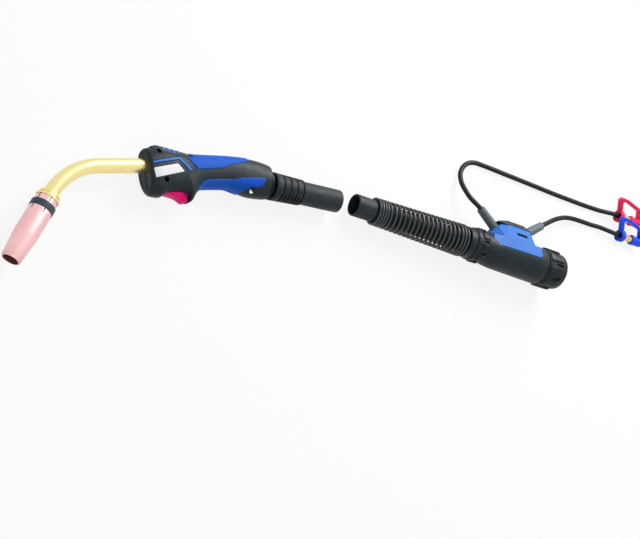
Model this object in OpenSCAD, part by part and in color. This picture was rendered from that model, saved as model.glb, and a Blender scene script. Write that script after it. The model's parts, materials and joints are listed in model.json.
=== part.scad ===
/* [Neck] */
// Outside diameter of the bent neck tube
neck_d = 16; // [14:0.5:18]
// Wall of the neck tube
neck_wall = 1.5; // [1:0.1:2]
// Straight length from the handle's face to the bend
neck_straight = 53; // [45:1:65]
// Bend radius of the neck's centre line
neck_bend_r = 72; // [60:1:90]
// Angle that the neck turns through
neck_bend = 52; // [40:1:60]
// How far the neck reaches into the handle
neck_inset = 36; // [30:1:38]
// Outside diameter of the inner current tube
core_d = 10; // [9:0.5:11]
// Bore of the inner current tube
core_bore_d = 5.6; // [5:0.2:7]
// Outside diameter of the wire liner
liner_d = 4.6; // [4:0.2:4.8]
// Bore of the wire liner
liner_bore_d = 2.2; // [1.6:0.1:3]

/* [Nozzle] */
// Outside diameter of the gas nozzle
nozzle_d = 25; // [24.4:0.2:27]
// Length of the gas nozzle
nozzle_len = 76; // [70:1:84]
// Bore at the nozzle's mouth
nozzle_mouth_d = 16; // [14:0.5:17]
// Wall of the nozzle at its mouth
nozzle_mouth_wall = 2.3; // [1.8:0.1:3]
// Length of the tapered front
nozzle_taper = 30; // [22:1:36]
// Number of gripping slots at the nozzle's rear
nozzle_slots = 6; // [4:1:8]
// Width of a gripping slot
nozzle_slot_w = 0.9; // [0.6:0.1:1.4]
// Diameter of the seat that the nozzle grips
seat_d = 20.7; // [19.5:0.1:20.8]
// Width of the spring ring round the nozzle
ring_w = 7.5; // [5:0.5:9]
// Thickness of the spring ring
ring_t = 1.3; // [1:0.1:1.8]
// How far the contact tip stays behind the mouth
tip_recess = 5; // [4.5:0.5:8]
// Diameter of the contact tip
tip_d = 10; // [8:0.5:10]
// Diameter of the wire hole in the contact tip
wire_hole_d = 1.3; // [0.9:0.1:2]

/* [Handle] */
// Half of the handle's thickness over its plates and grips
grip_half_w = 17.5; // [16.5:0.5:19]
// Wall of the handle shells
shell_wall = 2.6; // [2:0.1:3]
// Thickness of the soft grip overlays
overlay_t = 0.9; // [0.6:0.1:1.4]
// Thickness of the blank plates and the accent stripes
plate_t = 0.5; // [0.4:0.1:0.8]
// Half width of the pad on top of the head
pad_half_w = 12.5; // [11:0.5:13]
// Number of ridges on the top pad
pad_ridges = 4; // [3:1:5]
// Diameter of the screw shanks
screw_d = 3; // [2.5:0.1:3.5]
// Diameter of the screw heads
screw_head_d = 5.6; // [5:0.2:6]

/* [Trigger] */
// Half width of the trigger
trigger_half_w = 7; // [6:0.5:8]
// Diameter of the trigger's hinge pin
trigger_pin_d = 3; // [2.5:0.1:3.5]
// Angle that the trigger swings through
trigger_swing = 7; // [5:0.5:7]

/* [Cable joint] */
// Angle that the cable drops away from the neck's line
cable_drop = 11.9; // [8:0.1:14]
// Diameter of the ball in the handle's rear
ball_d = 25; // [24:0.5:25.5]
// Bore through the ball for the cable's core
ball_bore_d = 17; // [15:0.5:18]
// Outside diameter of the cable's outer hose
hose_d = 27; // [26:0.5:28]
// Wall of the outer hose
hose_wall = 1.8; // [1.6:0.1:2.4]
// Length of the bend relief boot
boot_len = 40; // [36:1:44]
// Boot diameter next to the handle
boot_front_d = 32.4; // [32:0.2:33]
// Boot diameter at its far end
boot_rear_d = 30; // [29.6:0.2:31]
// Number of ribs on the boot
boot_ribs = 4; // [3:1:5]
// Length of outer hose that shows behind the boot
torch_hose_len = 54; // [40:1:80]
// How far the core stays inside an open hose end
core_recess = 32; // [26:1:40]

/* [Machine end] */
// Length of outer hose in front of the spring
machine_hose_len = 26.5; // [20:0.5:40]
// Spring wire diameter
spring_wire_d = 3.2; // [2.8:0.1:3.4]
// Outside diameter at the spring's front
spring_front_d = 34; // [33.9:0.1:34.4]
// Outside diameter at the spring's rear
spring_rear_d = 41.6; // [40:0.1:42]
// Close turns at the spring's front
spring_close_turns = 4; // [3:1:4]
// Open turns of the spring
spring_open_turns = 16; // [14:1:17]
// Turns at the spring's rear
spring_end_turns = 3; // [2:1:3]
// Pitch of the close turns
spring_close_pitch = 3.8; // [3.8:0.05:4]
// Pitch of the open turns
spring_open_pitch = 6.8; // [6.6:0.1:7.4]
// Pitch of the turns at the rear
spring_end_pitch = 4.7; // [4:0.1:5]
// Length of the collar behind the spring
collar_len = 10; // [8:0.5:14]
// Diameter of the collar behind the spring
collar_d = 39.4; // [38:0.2:41]
// Length of the front ring
front_ring_len = 18.6; // [16:0.2:22]
// Diameter of the front ring between its lobes
front_ring_d = 42; // [41:0.2:42.2]
// How far the front ring's lobes stand out
front_lobe = 1.2; // [0.8:0.1:1.3]
// Length of the connector housing
housing_len = 99; // [92:1:110]
// Housing diameter at its front
housing_front_d = 40; // [39:0.5:42]
// Housing diameter at its rear
housing_rear_d = 48.4; // [47:0.2:50]
// Wall of the housing
housing_wall = 3; // [2.5:0.1:3.5]
// Height of the saddle above the housing's axis
saddle_h = 38; // [34:0.5:42]
// Height of the cap on the saddle
cap_h = 7; // [5:0.5:9]
// Length of the union nut
nut_len = 27; // [25:0.5:32]
// Diameter of the union nut between its lobes
nut_d = 48.6; // [48:0.2:50.6]
// How far the nut's lobes stand out
nut_lobe = 1.9; // [1.2:0.1:2.2]
// Number of lobes on the nut and on the front ring
lobes = 8; // [6:1:10]
// Diameter of the brass plug's nose
plug_nose_d = 16; // [14:0.5:18]
// Length of the brass plug's nose
plug_nose_len = 18; // [12:0.5:18.5]
// Diameter of the contact pins
contact_pin_d = 4; // [3:0.5:4]
// Travel of the contact pins
contact_pin_travel = 2.5; // [1.5:0.1:3]
// Distance of the contact pins from the plug's axis
contact_pin_r = 15.2; // [15.1:0.1:15.4]

/* [Coolant hoses] */
// Outside diameter of the coolant hoses
coolant_d = 6.5; // [6:0.1:7]
// Diameter of a gland's tip
gland_tip_d = 10.8; // [10:0.2:12]
// Diameter of a gland's base
gland_base_d = 12.8; // [12:0.2:14]
// Length of a gland
gland_len = 32; // [28:1:34]
// Diameter of a coupling clip's ring
clip_ring_d = 17.5; // [16:0.5:18]
// Width of a coupling clip's ring
clip_ring_w = 7; // [6:0.5:8]
// Diameter of a coupling's dust cap
clip_cap_d = 13; // [12.4:0.2:14]
// Length of a coupling's dust cap
clip_cap_len = 20; // [16:1:24]
// Reach of the strap from the hose's axis
clip_reach = 23; // [21:0.5:26]
// Angle of the strap above the table
clip_lift = 30; // [28:1:36]
// Diameter of the brass coupling plug
plug_d = 9; // [8.4:0.1:9.6]

/* [Fits] */
// Radial running clearance of turning and sliding pieces
running = 0.05; // [0.03:0.01:0.09]
// Clearance between pieces that move near each other
clear = 0.3; // [0.25:0.05:0.4]

/* [Hidden] */
$fn = 48;
shell_black = "#2b3236";
rubber_black = "#1d2124";
panel_blue = "#2450c8";
light_blue = "#6d95e0";
copper = "#e3a795";
gold = "#dcc58a";

// The working frame: the neck's axis meets the handle's face at the origin, +X runs to the
// cable, +Y is the torch's top and +Z its left side. The row's origin is at the centre of the
// whole part's footprint, on the table that it lies on.
row_origin = [212.4, -74, -grip_half_w];

// Neck and nozzle, measured along the nozzle's axis from the neck's corner
neck_r = neck_d / 2;
bend_step = 0.02;
bend_lap = 0.5;
neck_tangent = neck_bend_r * tan(neck_bend / 2);
neck_corner = neck_straight + neck_tangent;
collar_start = neck_tangent + 2;
neck_socket = 3.5;
nozzle_start = collar_start + 5.4;
collar_lip = 1.6;
nozzle_mouth = nozzle_start + nozzle_len;
nozzle_bore_r = seat_d / 2 + running;
nozzle_rear_r = nozzle_d / 2 - 0.7;
collar_lip_r = nozzle_rear_r + 0.8;
ring_start = nozzle_start + 8;
seat_end = nozzle_start + 19.5;
tip_end = nozzle_mouth - tip_recess;
tip_start = tip_end - 30;
holder_end = tip_start + 8;
holder_start = seat_end - 10;
holder_r = 6.5;
thread_r = 4;

// Handle stations: place along X, top, bottom, share of the half width, squareness
stations = [[-2, 15.5, -27, 0.76, 2.1], [0.5, 17.8, -31, 0.9, 2.15], [4, 19, -33.5, 0.95, 2.25],
    [12, 18.6, -34.5, 0.97, 2.45], [18, 17.6, -32, 0.97, 2.6], [43.8, 12.8, -31, 0.97, 2.7],
    [45.6, 12.5, -41.5, 0.95, 2.9], [48.5, 12.1, -40.5, 0.945, 2.8], [51.5, 11.8, -36.5, 0.94, 2.7],
    [54.5, 11.4, -33, 0.94, 2.6], [58, 11, -28.5, 0.93, 2.6], [64, 10.6, -26, 0.92, 2.6],
    [76, 10.2, -25.5, 0.91, 2.6], [95, 9.6, -26, 0.91, 2.5], [110, 8.8, -30.7, 0.925, 2.4],
    [127, 7, -36.6, 0.94, 2.3], [140, 4.6, -38.4, 0.945, 2.2], [150, 1.4, -39.2, 0.95, 2.1],
    [160, -3, -41.2, 0.955, 2.1]];
shell_facets = 12;
face_x = stations[0][0];
head_wall = 4;
screw_spots = [[12.4, 13.2], [15.5, -18.4], [124, -31.2]];
screw_head_z = 7;
screw_head_h = 2.4;
nut_seat_z = 7;
boss_r = 4.6;
clamp_r = 11;
clamp_x = 18;
clamp_len = 17;
block_r = 6.8;
block_x = neck_inset;
seat_depth = 13;
block_len = 30;

// Outlines in the side view, where the overlays lie on the shells
upper_grip = [[52.3, 20], [52.3, 5.5], [46.4, 5.5], [46, 4], [55, -8], [89, -6.5], [96, -3],
    [124, 1.5], [130, 20]];
lower_grip = [[53, -50], [56, -27], [61.5, -20.5], [69, -18.8], [78, -18.3], [102, -19],
    [108, -17.4], [141.4, -17.8], [137.4, -26], [132, -28], [122, -27.6], [114, -31], [105, -34],
    [98, -50]];
stripe = [[1.6, 1.4], [35.4, 6.2], [48.4, -9], [45.2, -10.4], [33.4, 3], [1.6, -1.4]];
plate = [[1.4, -6.2], [30.8, -1.8], [38, -10.6], [2.8, -16.6]];
pad_side = [[6, 10], [6, 18.4], [8, 20.6], [14, 21.6], [20, 20.2], [50, 12.6], [52, 11], [52, 4]];
pad_drop = 4.5;
pad_top_half_w = 6.5;
ridge_first_x = 20;
ridge_pitch = 6;
ridge_w = 3.2;
ridge_h = 0.7;
pad_slope = atan((pad_side[4][1] - pad_side[5][1]) / (pad_side[5][0] - pad_side[4][0]));

// Trigger and switch
trigger_pivot = [19.5, -26.5];
trigger_side = [[16.2, -28], [18.4, -31.4], [25, -33.4], [30, -34.8], [34.8, -37.4], [38.2, -40.4],
    [41, -41.6], [42.6, -40.8], [43.2, -38.4], [44, -28.4], [34, -25.6], [26, -25.6],
    [23, -23.2], [16.6, -23.4]];
slot_front_x = 15;
slot_end_x = 45;
guard_x = [41, 56];
guard_top = -27;
pin_half = trigger_half_w + 5;
plunger_x = 30;
plunger_travel = (plunger_x - trigger_pivot[0]) * tan(trigger_swing);
plunger_base_y = -25.6 + clear;
switch_y = -21.4;
switch_size = [20, 10.1, 6.4];

// Cable joint, measured along the cable from the ball's centre
knuckle = [144.2, -20.8];
ball_r = ball_d / 2;
ball_neck_r = ball_r - 2.5;
socket_r = ball_r + clear;
swivel_r = ball_r + 2.1;
shell_end = 6.6;
flange_end = 8.5;
flange_r = 16.6;
boot_start = 13.2;
boot_end = boot_start + boot_len;
boot_wall_end = boot_start + 4;
hose_end = boot_end + torch_hose_len;
hose_r = hose_d / 2;
hose_grip_r = hose_r - 0.2;
hose_bore_r = hose_r - hose_wall;
seat_gap = 0.02;
core_r = ball_bore_d / 2;
strand_r = [3.9, 2.9, 2.9, 2.9];
strand_spot = [[0, -4.4], [0, 5.3], [5.4, 1.6], [-5.4, 1.6]];
core_tail = 6;
bundle_r = 6;
bundle_route = [[66, 0], [70, 0], [78, -1.2], [88, -3.5], [100, -7], [112, -11.5], [122, -15.5], [134, -18.6]];

// Machine end, measured along its axis from the open hose end
machine_at = [274.4, -47.1];
machine_drop = 17.8;
spring_start = machine_hose_len + spring_wire_d / 2;
spring_len = spring_close_turns * spring_close_pitch + spring_open_turns * spring_open_pitch
    + spring_end_turns * spring_end_pitch;
spring_turns = spring_close_turns + spring_open_turns + spring_end_turns;
collar_u = spring_start + spring_len + spring_wire_d / 2 + 0.1;
ring_u = collar_u + collar_len + clear;
housing_u = ring_u + front_ring_len + clear;
housing_end = housing_u + housing_len;
nut_u = housing_end + clear;
nut_end = nut_u + nut_len;
rim_len = 4.5;
nose_r = front_ring_d / 2 - 4.2;
housing_swell = 38;
skirt_t = 1.1;
lobe_half = 0.24;
lobe_low = cos(max(0, 180 / lobes - asin(lobe_half)));
// Places and radii that the machine end can rest on, with the spring's front turn
rest_spots = [[ring_u + 3, (front_ring_d / 2 + front_lobe) * lobe_low],
    [housing_u + housing_swell, housing_rear_d / 2 - 1 + skirt_t],
    [housing_end - 12, housing_rear_d / 2 + skirt_t],
    [nut_u + 2, (nut_d / 2 + nut_lobe) * lobe_low]];
machine_tilt = asin(max([for (p = rest_spots) (p[1] - spring_front_d / 2) / (p[0] - spring_start)]));
machine_z = -grip_half_w + spring_front_d / 2 + 0.05 - spring_start * sin(machine_tilt);
hose_tail_u = ring_u + 12;

// Saddle: its outline at the foot, the waist and the top, along the machine end's axis
saddle_foot_u = [housing_u + 1, housing_u + 86];
saddle_foot_v = 1.5;
saddle_waist_u = [housing_u + 9, housing_u + 81];
saddle_waist_v = 15;
saddle_waist_w = [19.5, 21];
saddle_top_u = [housing_u + 20, housing_u + 76];
saddle_top_w = 10.5;
saddle_wall = 2.6;
saddle_slot = [housing_u + 43, saddle_h - 11.6, 13, 2.5];
cap_w = saddle_top_w - 0.9;
cap_screw_u = housing_u + 50;
gland_front_at = [housing_u + 22, 31.5];
gland_front_turn = 143;
gland_rear_at = [housing_u + 76, 38.5];
gland_rear_turn = 35;

// Plug in the union nut
plug_neck_r = nut_d / 2 - 6.4;
plug_flange_r = nut_d / 2 - 4;
nut_bore_r = nut_d / 2 - 3.1;
nut_lip = 4;
flange_u = nut_u + nut_lip + clear;
flange_len = 4;
plug_face_u = flange_u + flange_len;
plug_back_u = housing_end - 22;
brass_r = 12;
wire_inlet_r = 2.4;
pin_out = 9;
pin_len = 20;

// Coolant hoses: routes in the working frame, chosen by hand, on the table or above it
coolant_r = coolant_d / 2;
lie_z = -grip_half_w + coolant_r + 0.1;
clip_z = -grip_half_w + clip_ring_d / 2 + 0.1;
red_at = [759, -72];
blue_at = [754, -100];
red_middle = [[464.4, -43], [461.2, -31.5], [461.6, -20], [466, -8.5], [474, 1], [485, 7],
    [497.5, 7.8], [510, 4.6], [524, 0.4], [546, -6.7], [569, -14], [592, -21.4], [615, -28.8],
    [638, -36.2], [661, -43.2], [684, -50.1], [706, -56.4], [726, -62.2]];
red_heights = [15.5, 11.5, 6.6, 2.4, 0.4, 0, 0, 0, 0, 0, 0, 0, 0, 0, 0, 0, 0, 1.5];
blue_middle = [[590, -81.2], [604, -77.4], [618, -74.2], [632, -72.2], [646, -71.2], [660, -71.8],
    [674, -74], [689, -77.6], [704, -81.8], [719, -86.2]];
blue_heights = [19.1, 16.4, 13.3, 9.8, 6.1, 3.1, 1, 0, 0, 1.5];
clip_mouth = 20.5;
strap_w = 5;
strap_t = 4;
strap_lean = 10;
cord_sides = 10;

// ---- frames and shared shapes ----

module place() {
    translate(-row_origin) children();
}

// +Z runs along the nozzle's axis from the neck's corner
module nozzle_frame() {
    place() translate([-neck_corner, 0, 0]) rotate([0, 0, 180 + neck_bend]) rotate([0, 90, 0])
        children();
}

// +Z runs along the cable from the ball's centre
module cable_frame() {
    place() translate([knuckle[0], knuckle[1], 0]) rotate([0, 0, -cable_drop]) rotate([0, 90, 0])
        children();
}

// +X runs along the machine end's axis, +Y to its saddle and +Z up
module machine_frame() {
    place() translate([machine_at[0], machine_at[1], machine_z])
        rotate([0, -machine_tilt, -machine_drop]) children();
}

module machine_turned() {
    machine_frame() rotate([0, 90, 0]) children();
}

// +X runs along a coupling's axis
module coupling_frame(at) {
    place() translate([at[0], at[1], clip_z]) rotate([0, 0, -machine_drop]) children();
}

// A ring or sleeve turned from pairs of radius and length
module turned(profile) {
    rotate_extrude() polygon(profile);
}

module sleeve(r_out, r_in, from, to) {
    turned([[r_in, from], [r_out, from], [r_out, to], [r_in, to]]);
}

function lifted(v, p) = sign(v) * pow(abs(v), p);

// One ring of a rounded section at a station
function section(st, grow, a0, a1, n) = [for (i = [0:n])
    let (a = a0 + (a1 - a0) * i / n, e = 2 / st[4], mid = (st[1] + st[2]) / 2)
    [st[0], mid + ((st[1] - st[2]) / 2 + grow) * lifted(sin(a), e),
        (st[3] * grip_half_w + grow) * lifted(cos(a), e)]];

// Triangles that join rings of n points into a closed body
function skin(rings, n) = concat(
    [for (r = [0:rings - 2]) for (i = [0:n - 1]) [r * n + i, r * n + (i + 1) % n, (r + 1) * n + i]],
    [for (r = [0:rings - 2]) for (i = [0:n - 1])
        [r * n + (i + 1) % n, (r + 1) * n + (i + 1) % n, (r + 1) * n + i]],
    [[for (i = [n - 1:-1:0]) i]],
    [[for (i = [0:n - 1]) (rings - 1) * n + i]]);

// The handle's outside as the two shells make it
module whole_form() {
    half_form();
    mirror([0, 0, 1]) half_form();
}

// The handle's outside, grown or shrunk
module handle_form(grow) {
    n = 2 * shell_facets;
    rings = [for (st = stations) section(st, grow, -90, 270 - 360 / n, n - 1)];
    polyhedron([for (r = rings) each r], skin(len(rings), n), convexity = 6);
}

// The left half of the handle's outside
module half_form() {
    n = shell_facets;
    rings = [for (st = stations) section(st, 0, -90, 90, n)];
    polyhedron([for (r = rings) each r], skin(len(rings), n + 1), convexity = 6);
}

// What lies behind the handle's rear end, beyond a place along the cable
module beyond(at) {
    translate([knuckle[0], knuckle[1], 0]) rotate([0, 0, -cable_drop])
        translate([at, -60, -60]) cube([60, 120, 120]);
}

// The space along the cable inside a radius
module along_cable(r, from, to) {
    translate([knuckle[0], knuckle[1], 0]) rotate([0, 0, -cable_drop]) rotate([0, 90, 0])
        translate([0, 0, from]) cylinder(r = r, h = to - from);
}

// A slab across the handle between two places on X
module slab(x0, x1) {
    translate([x0, -60, -40]) cube([x1 - x0, 120, 80]);
}

// A bent rod that follows the neck, and a tube made of two. The straight piece at the nozzle is
// a hair thinner, so that its start lies inside the bend.
module bent_rod(r, inset, end_at) {
    translate([-neck_straight, 0, 0]) rotate([0, 90, 0]) cylinder(r = r, h = neck_straight + inset);
    translate([-neck_straight, -neck_bend_r, 0]) rotate([0, 0, 90])
        rotate_extrude(angle = neck_bend) translate([neck_bend_r, 0]) circle(r);
    translate([-neck_corner, 0, 0]) rotate([0, 0, 180 + neck_bend]) rotate([0, 90, 0])
        translate([0, 0, neck_tangent - bend_lap])
            cylinder(r = r - bend_step, h = end_at - neck_tangent + bend_lap);
}

module bent_tube(r_out, r_in, inset, end_at) {
    difference() {
        bent_rod(r_out, inset, end_at);
        bent_rod(r_in, inset, end_at);
    }
}

// A round tube swept along a route, with its ends square to given directions
function unit(v) = v / norm(v);
function heading(p, i) = i == 0 ? unit(p[1] - p[0])
    : i == len(p) - 1 ? unit(p[i] - p[i - 1])
    : unit(unit(p[i + 1] - p[i]) + unit(p[i] - p[i - 1]));
function across(d) = unit(cross([0, 0, 1], d));
function tube_ring(c, d, r, n) = [for (k = [0:n - 1])
    c + r * cos(360 * k / n) * across(d) + r * sin(360 * k / n) * cross(d, across(d))];

module swept(route, r, n) {
    rings = [for (i = [0:len(route) - 1]) tube_ring(route[i], heading(route, i), r, n)];
    polyhedron([for (g = rings) each g], skin(len(rings), n), convexity = 8);
}

// Grip lobes round a ring
module lobe_set(r, out, from, to) {
    for (i = [0:lobes - 1]) rotate([0, 0, 360 * (i + 0.5) / lobes])
        intersection() {
            sleeve(r + out, r - 1.2, from, to);
            translate([0, -r * lobe_half, from - 1])
                cube([r + out + 2, 2 * r * lobe_half, to - from + 2]);
        }
}

// ---- torch end ----

module gas_nozzle() {
    color(copper) nozzle_frame() difference() {
        turned([[nozzle_bore_r, nozzle_start], [nozzle_rear_r, nozzle_start],
            [nozzle_rear_r, ring_start + ring_w], [nozzle_d / 2, ring_start + ring_w],
            [nozzle_d / 2, nozzle_mouth - nozzle_taper],
            [nozzle_mouth_d / 2 + nozzle_mouth_wall, nozzle_mouth - 1],
            [nozzle_mouth_d / 2 + nozzle_mouth_wall - 0.8, nozzle_mouth],
            [nozzle_mouth_d / 2, nozzle_mouth], [nozzle_mouth_d / 2, nozzle_mouth - 12],
            [nozzle_bore_r - 0.3, nozzle_mouth - nozzle_taper + 4],
            [nozzle_bore_r - 0.3, seat_end + 1], [nozzle_bore_r, seat_end]]);
        for (i = [0:nozzle_slots - 1]) rotate([0, 0, 360 * i / nozzle_slots])
            translate([0, -nozzle_slot_w / 2, nozzle_start - 1])
                cube([nozzle_d, nozzle_slot_w, seat_end - nozzle_start + 2]);
    }
}

module nozzle_ring() {
    color("#37474f") nozzle_frame() turned([[nozzle_rear_r, ring_start],
        [nozzle_rear_r + ring_t - 0.3, ring_start], [nozzle_rear_r + ring_t, ring_start + 0.5],
        [nozzle_rear_r + ring_t, ring_start + ring_w - 0.5],
        [nozzle_rear_r + ring_t - 0.3, ring_start + ring_w], [nozzle_rear_r, ring_start + ring_w]]);
}

module contact_tip() {
    color(copper) nozzle_frame() turned([[wire_hole_d / 2, tip_start], [thread_r, tip_start],
        [thread_r, holder_end], [tip_d / 2, holder_end], [tip_d / 2, tip_end - 5],
        [tip_d / 2 - 1.6, tip_end], [wire_hole_d / 2, tip_end]]);
}

module tip_holder() {
    color(gold) nozzle_frame() turned([[liner_d / 2, holder_start], [thread_r, holder_start],
        [thread_r, seat_end], [holder_r, seat_end], [holder_r, holder_end - 1],
        [holder_r - 1, holder_end], [thread_r, holder_end], [thread_r, tip_start],
        [liner_d / 2, tip_start]]);
}

module gas_diffuser() {
    color("ivory") nozzle_frame() difference() {
        turned([[holder_r, seat_end], [holder_r + 2.6, seat_end], [holder_r + 2.6, seat_end + 14],
            [holder_r + 1.6, seat_end + 17], [holder_r, seat_end + 17]]);
        for (i = [0:7]) rotate([0, 0, 45 * (i + 0.5)]) translate([holder_r, 0, seat_end + 9])
            rotate([0, 90, 0]) cylinder(r = 0.9, h = 4);
    }
}

module neck_collar() {
    color(gold) nozzle_frame() turned([[neck_r, collar_start], [neck_r + 2.4, collar_start],
        [neck_r + 3.2, collar_start + 0.8], [neck_r + 3.2, collar_start + 2],
        [neck_r + 2, collar_start + 2.6], [neck_r + 2, collar_start + 3.6],
        [collar_lip_r - 0.5, collar_start + 4.2], [collar_lip_r, collar_start + 4.7],
        [collar_lip_r, nozzle_start + collar_lip], [nozzle_rear_r + clear / 2, nozzle_start + collar_lip],
        [nozzle_rear_r + clear / 2, nozzle_start], [seat_d / 2, nozzle_start],
        [seat_d / 2, seat_end], [thread_r, seat_end], [thread_r, holder_start],
        [core_d / 2, holder_start], [core_d / 2, collar_start + neck_socket],
        [neck_r, collar_start + neck_socket]]);
}

module swan_neck() {
    color(gold) place()
        bent_tube(neck_r, neck_r - neck_wall, neck_inset, collar_start + neck_socket);
}

module neck_core() {
    color("#b87b5a") place() bent_tube(core_d / 2, core_bore_d / 2, neck_inset, holder_start);
}

module wire_liner() {
    color("gray") place()
        bent_tube(liner_d / 2, liner_bore_d / 2, neck_inset, tip_start - clear);
}

module neck_clamp() {
    color(rubber_black) place() translate([clamp_x, 0, 0]) rotate([0, 90, 0]) difference() {
        cylinder(r = clamp_r, h = clamp_len);
        translate([0, 0, -1]) cylinder(r = neck_r, h = clamp_len + 2);
    }
}

module neck_block() {
    color("#c9a24a") place() translate([block_x, 0, 0]) rotate([0, 90, 0]) difference() {
        cylinder(r = block_r, h = block_len);
        translate([0, 0, -1]) cylinder(r = liner_d / 2, h = block_len + 2);
    }
}

module lead_bundle() {
    route = [for (p = bundle_route) [p[0], p[1], 0]];
    color(rubber_black) place() swept(route, bundle_r, 12);
}

// ---- handle ----

module screw_bosses() {
    for (p = screw_spots) translate([p[0], p[1], 0]) cylinder(r = boss_r, h = grip_half_w);
}

module pin_boss() {
    translate([trigger_pivot[0], trigger_pivot[1], trigger_half_w + clear])
        cylinder(r = 3.4, h = grip_half_w - trigger_half_w - 3);
}

// Ribs that hold the neck clamp
module clamp_ribs() {
    for (x = [clamp_x + 2, clamp_x + clamp_len - 4]) intersection() {
        half_form();
        translate([x, -clamp_r, 0]) cube([2, clamp_r + 18, 40]);
    }
}

module shell_half() {
    difference() {
        union() {
            difference() {
                half_form();
                difference() {
                    intersection() {
                        handle_form(-shell_wall);
                        slab(face_x + head_wall, 200);
                    }
                    translate([guard_x[0], -60, -40])
                        cube([guard_x[1] - guard_x[0], 60 + guard_top, 80]);
                    beyond(shell_end - seat_depth);
                }
            }
            clamp_ribs();
            intersection() {
                half_form();
                union() {
                    screw_bosses();
                    pin_boss();
                }
            }
        }
        translate([face_x - 1, 0, 0]) rotate([0, 90, 0])
            cylinder(r = neck_r + 0.15, h = clamp_x);
        translate([clamp_x, 0, 0]) rotate([0, 90, 0]) cylinder(r = clamp_r, h = clamp_len);
        translate([slot_front_x, -60, -1])
            cube([slot_end_x - slot_front_x, 60 + trigger_pivot[1] + 1.5, trigger_half_w + clear + 1]);
        translate([trigger_pivot[0], trigger_pivot[1], -1])
            cylinder(r = trigger_pin_d / 2, h = pin_half + 1);
        beyond(shell_end);
        along_cable(swivel_r + running, -12, shell_end + 1);
    }
}

module handle_left() {
    color(shell_black) place() difference() {
        shell_half();
        for (p = screw_spots) translate([p[0], p[1], -1]) {
            cylinder(r = screw_d / 2 + 0.15, h = 40);
            translate([0, 0, screw_head_z]) cylinder(r = screw_head_d / 2 + 0.2, h = 40);
        }
    }
}

module handle_right() {
    color(shell_black) place() mirror([0, 0, 1]) difference() {
        shell_half();
        for (p = screw_spots) translate([p[0], p[1], -1]) {
            cylinder(r = screw_d / 2 + 0.15, h = 40);
            translate([0, 0, nut_seat_z]) cylinder(r = screw_head_d / 2 + 0.2, h = 40);
        }
    }
}

// A thin overlay on the handle's left side, inside an outline
module overlay(outline, t) {
    difference() {
        intersection() {
            handle_form(t);
            linear_extrude(height = 40) polygon(outline);
        }
        handle_form(0);
    }
}

module grip_upper_left() {
    color(panel_blue) place() overlay(upper_grip, overlay_t);
}

module grip_upper_right() {
    color(panel_blue) place() mirror([0, 0, 1]) overlay(upper_grip, overlay_t);
}

module grip_lower_left() {
    color(panel_blue) place() overlay(lower_grip, overlay_t);
}

module grip_lower_right() {
    color(panel_blue) place() mirror([0, 0, 1]) overlay(lower_grip, overlay_t);
}

module stripe_left() {
    color(light_blue) place() overlay(stripe, plate_t);
}

module stripe_right() {
    color(light_blue) place() mirror([0, 0, 1]) overlay(stripe, plate_t);
}

module plate_left() {
    color("white") place() overlay(plate, plate_t);
}

module plate_right() {
    color("white") place() mirror([0, 0, 1]) overlay(plate, plate_t);
}

// The pad's side outline, lowered where the pad's sides slope away
module pad_slice(half_w, drop) {
    translate([0, 0, -half_w]) linear_extrude(height = 2 * half_w)
        polygon([for (p = pad_side) [p[0], p[1] - (p[1] > pad_side[7][1] + 6 ? drop : 0)]]);
}

module top_pad() {
    color(shell_black) place() difference() {
        hull() {
            pad_slice(pad_top_half_w, 0);
            pad_slice(pad_half_w, pad_drop);
        }
        whole_form();
        translate([screw_spots[0][0], screw_spots[0][1], -40])
            cylinder(r = screw_head_d / 2 + 0.2, h = 80);
    }
}

// Raised ridges across the pad and down its sloping sides
module pad_ridge_set() {
    slope_w = pad_half_w - pad_top_half_w;
    fall = pad_drop * cos(pad_slope) / slope_w;
    color(light_blue) place() translate([pad_side[4][0], pad_side[4][1], 0])
        rotate([0, 0, -pad_slope]) for (i = [0:pad_ridges - 1]) for (side = [1, -1])
            translate([ridge_first_x - pad_side[4][0] + i * ridge_pitch, 0, 0])
                multmatrix([[1, 0, 0, 0], [0, 1, -side * fall, pad_top_half_w * fall + seat_gap],
                    [0, 0, 1, 0], [0, 0, 0, 1]])
                    translate([0, 0, side > 0 ? pad_top_half_w : -pad_half_w + 0.8])
                        cube([ridge_w, ridge_h, slope_w - 0.8]);
}

module trigger() {
    color("#e51f76") place() difference() {
        translate([0, 0, -trigger_half_w]) linear_extrude(height = 2 * trigger_half_w)
            polygon(trigger_side);
        translate([trigger_pivot[0], trigger_pivot[1], -trigger_half_w - 1])
            cylinder(r = trigger_pin_d / 2 + running, h = 2 * trigger_half_w + 2);
        translate([trigger_pivot[0] - 6, trigger_pivot[1] - 3.6, -3.2]) cube([10.4, 10, 6.4]);
    }
}

module trigger_pin() {
    color("silver") place() translate([trigger_pivot[0], trigger_pivot[1], -pin_half])
        cylinder(r = trigger_pin_d / 2, h = 2 * pin_half);
}

// Torsion spring on the pin, with a leg against the neck clamp
module trigger_spring() {
    color("silver") place() translate([trigger_pivot[0], trigger_pivot[1], 0]) {
        translate([0, 0, -2.6]) sleeve(trigger_pin_d / 2 + 1.1, trigger_pin_d / 2, 0, 5.2);
        translate([1.9, 0, 0]) rotate([-90, 0, 0])
            cylinder(r = 0.6, h = -trigger_pivot[1] - clamp_r);
    }
}

module micro_switch() {
    color("#3a3f44") place() difference() {
        translate([plunger_x - 6, switch_y, -switch_size[2] / 2]) cube([switch_size[0],
            switch_size[1], switch_size[2]]);
        translate([plunger_x, switch_y - 1, 0]) rotate([-90, 0, 0])
            cylinder(r = 1.2 + running, h = 6);
    }
}

module switch_plunger() {
    color("firebrick") place() translate([plunger_x, plunger_base_y, 0]) rotate([-90, 0, 0])
        cylinder(r = 1.2, h = switch_y - plunger_base_y + 2.5);
}

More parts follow.
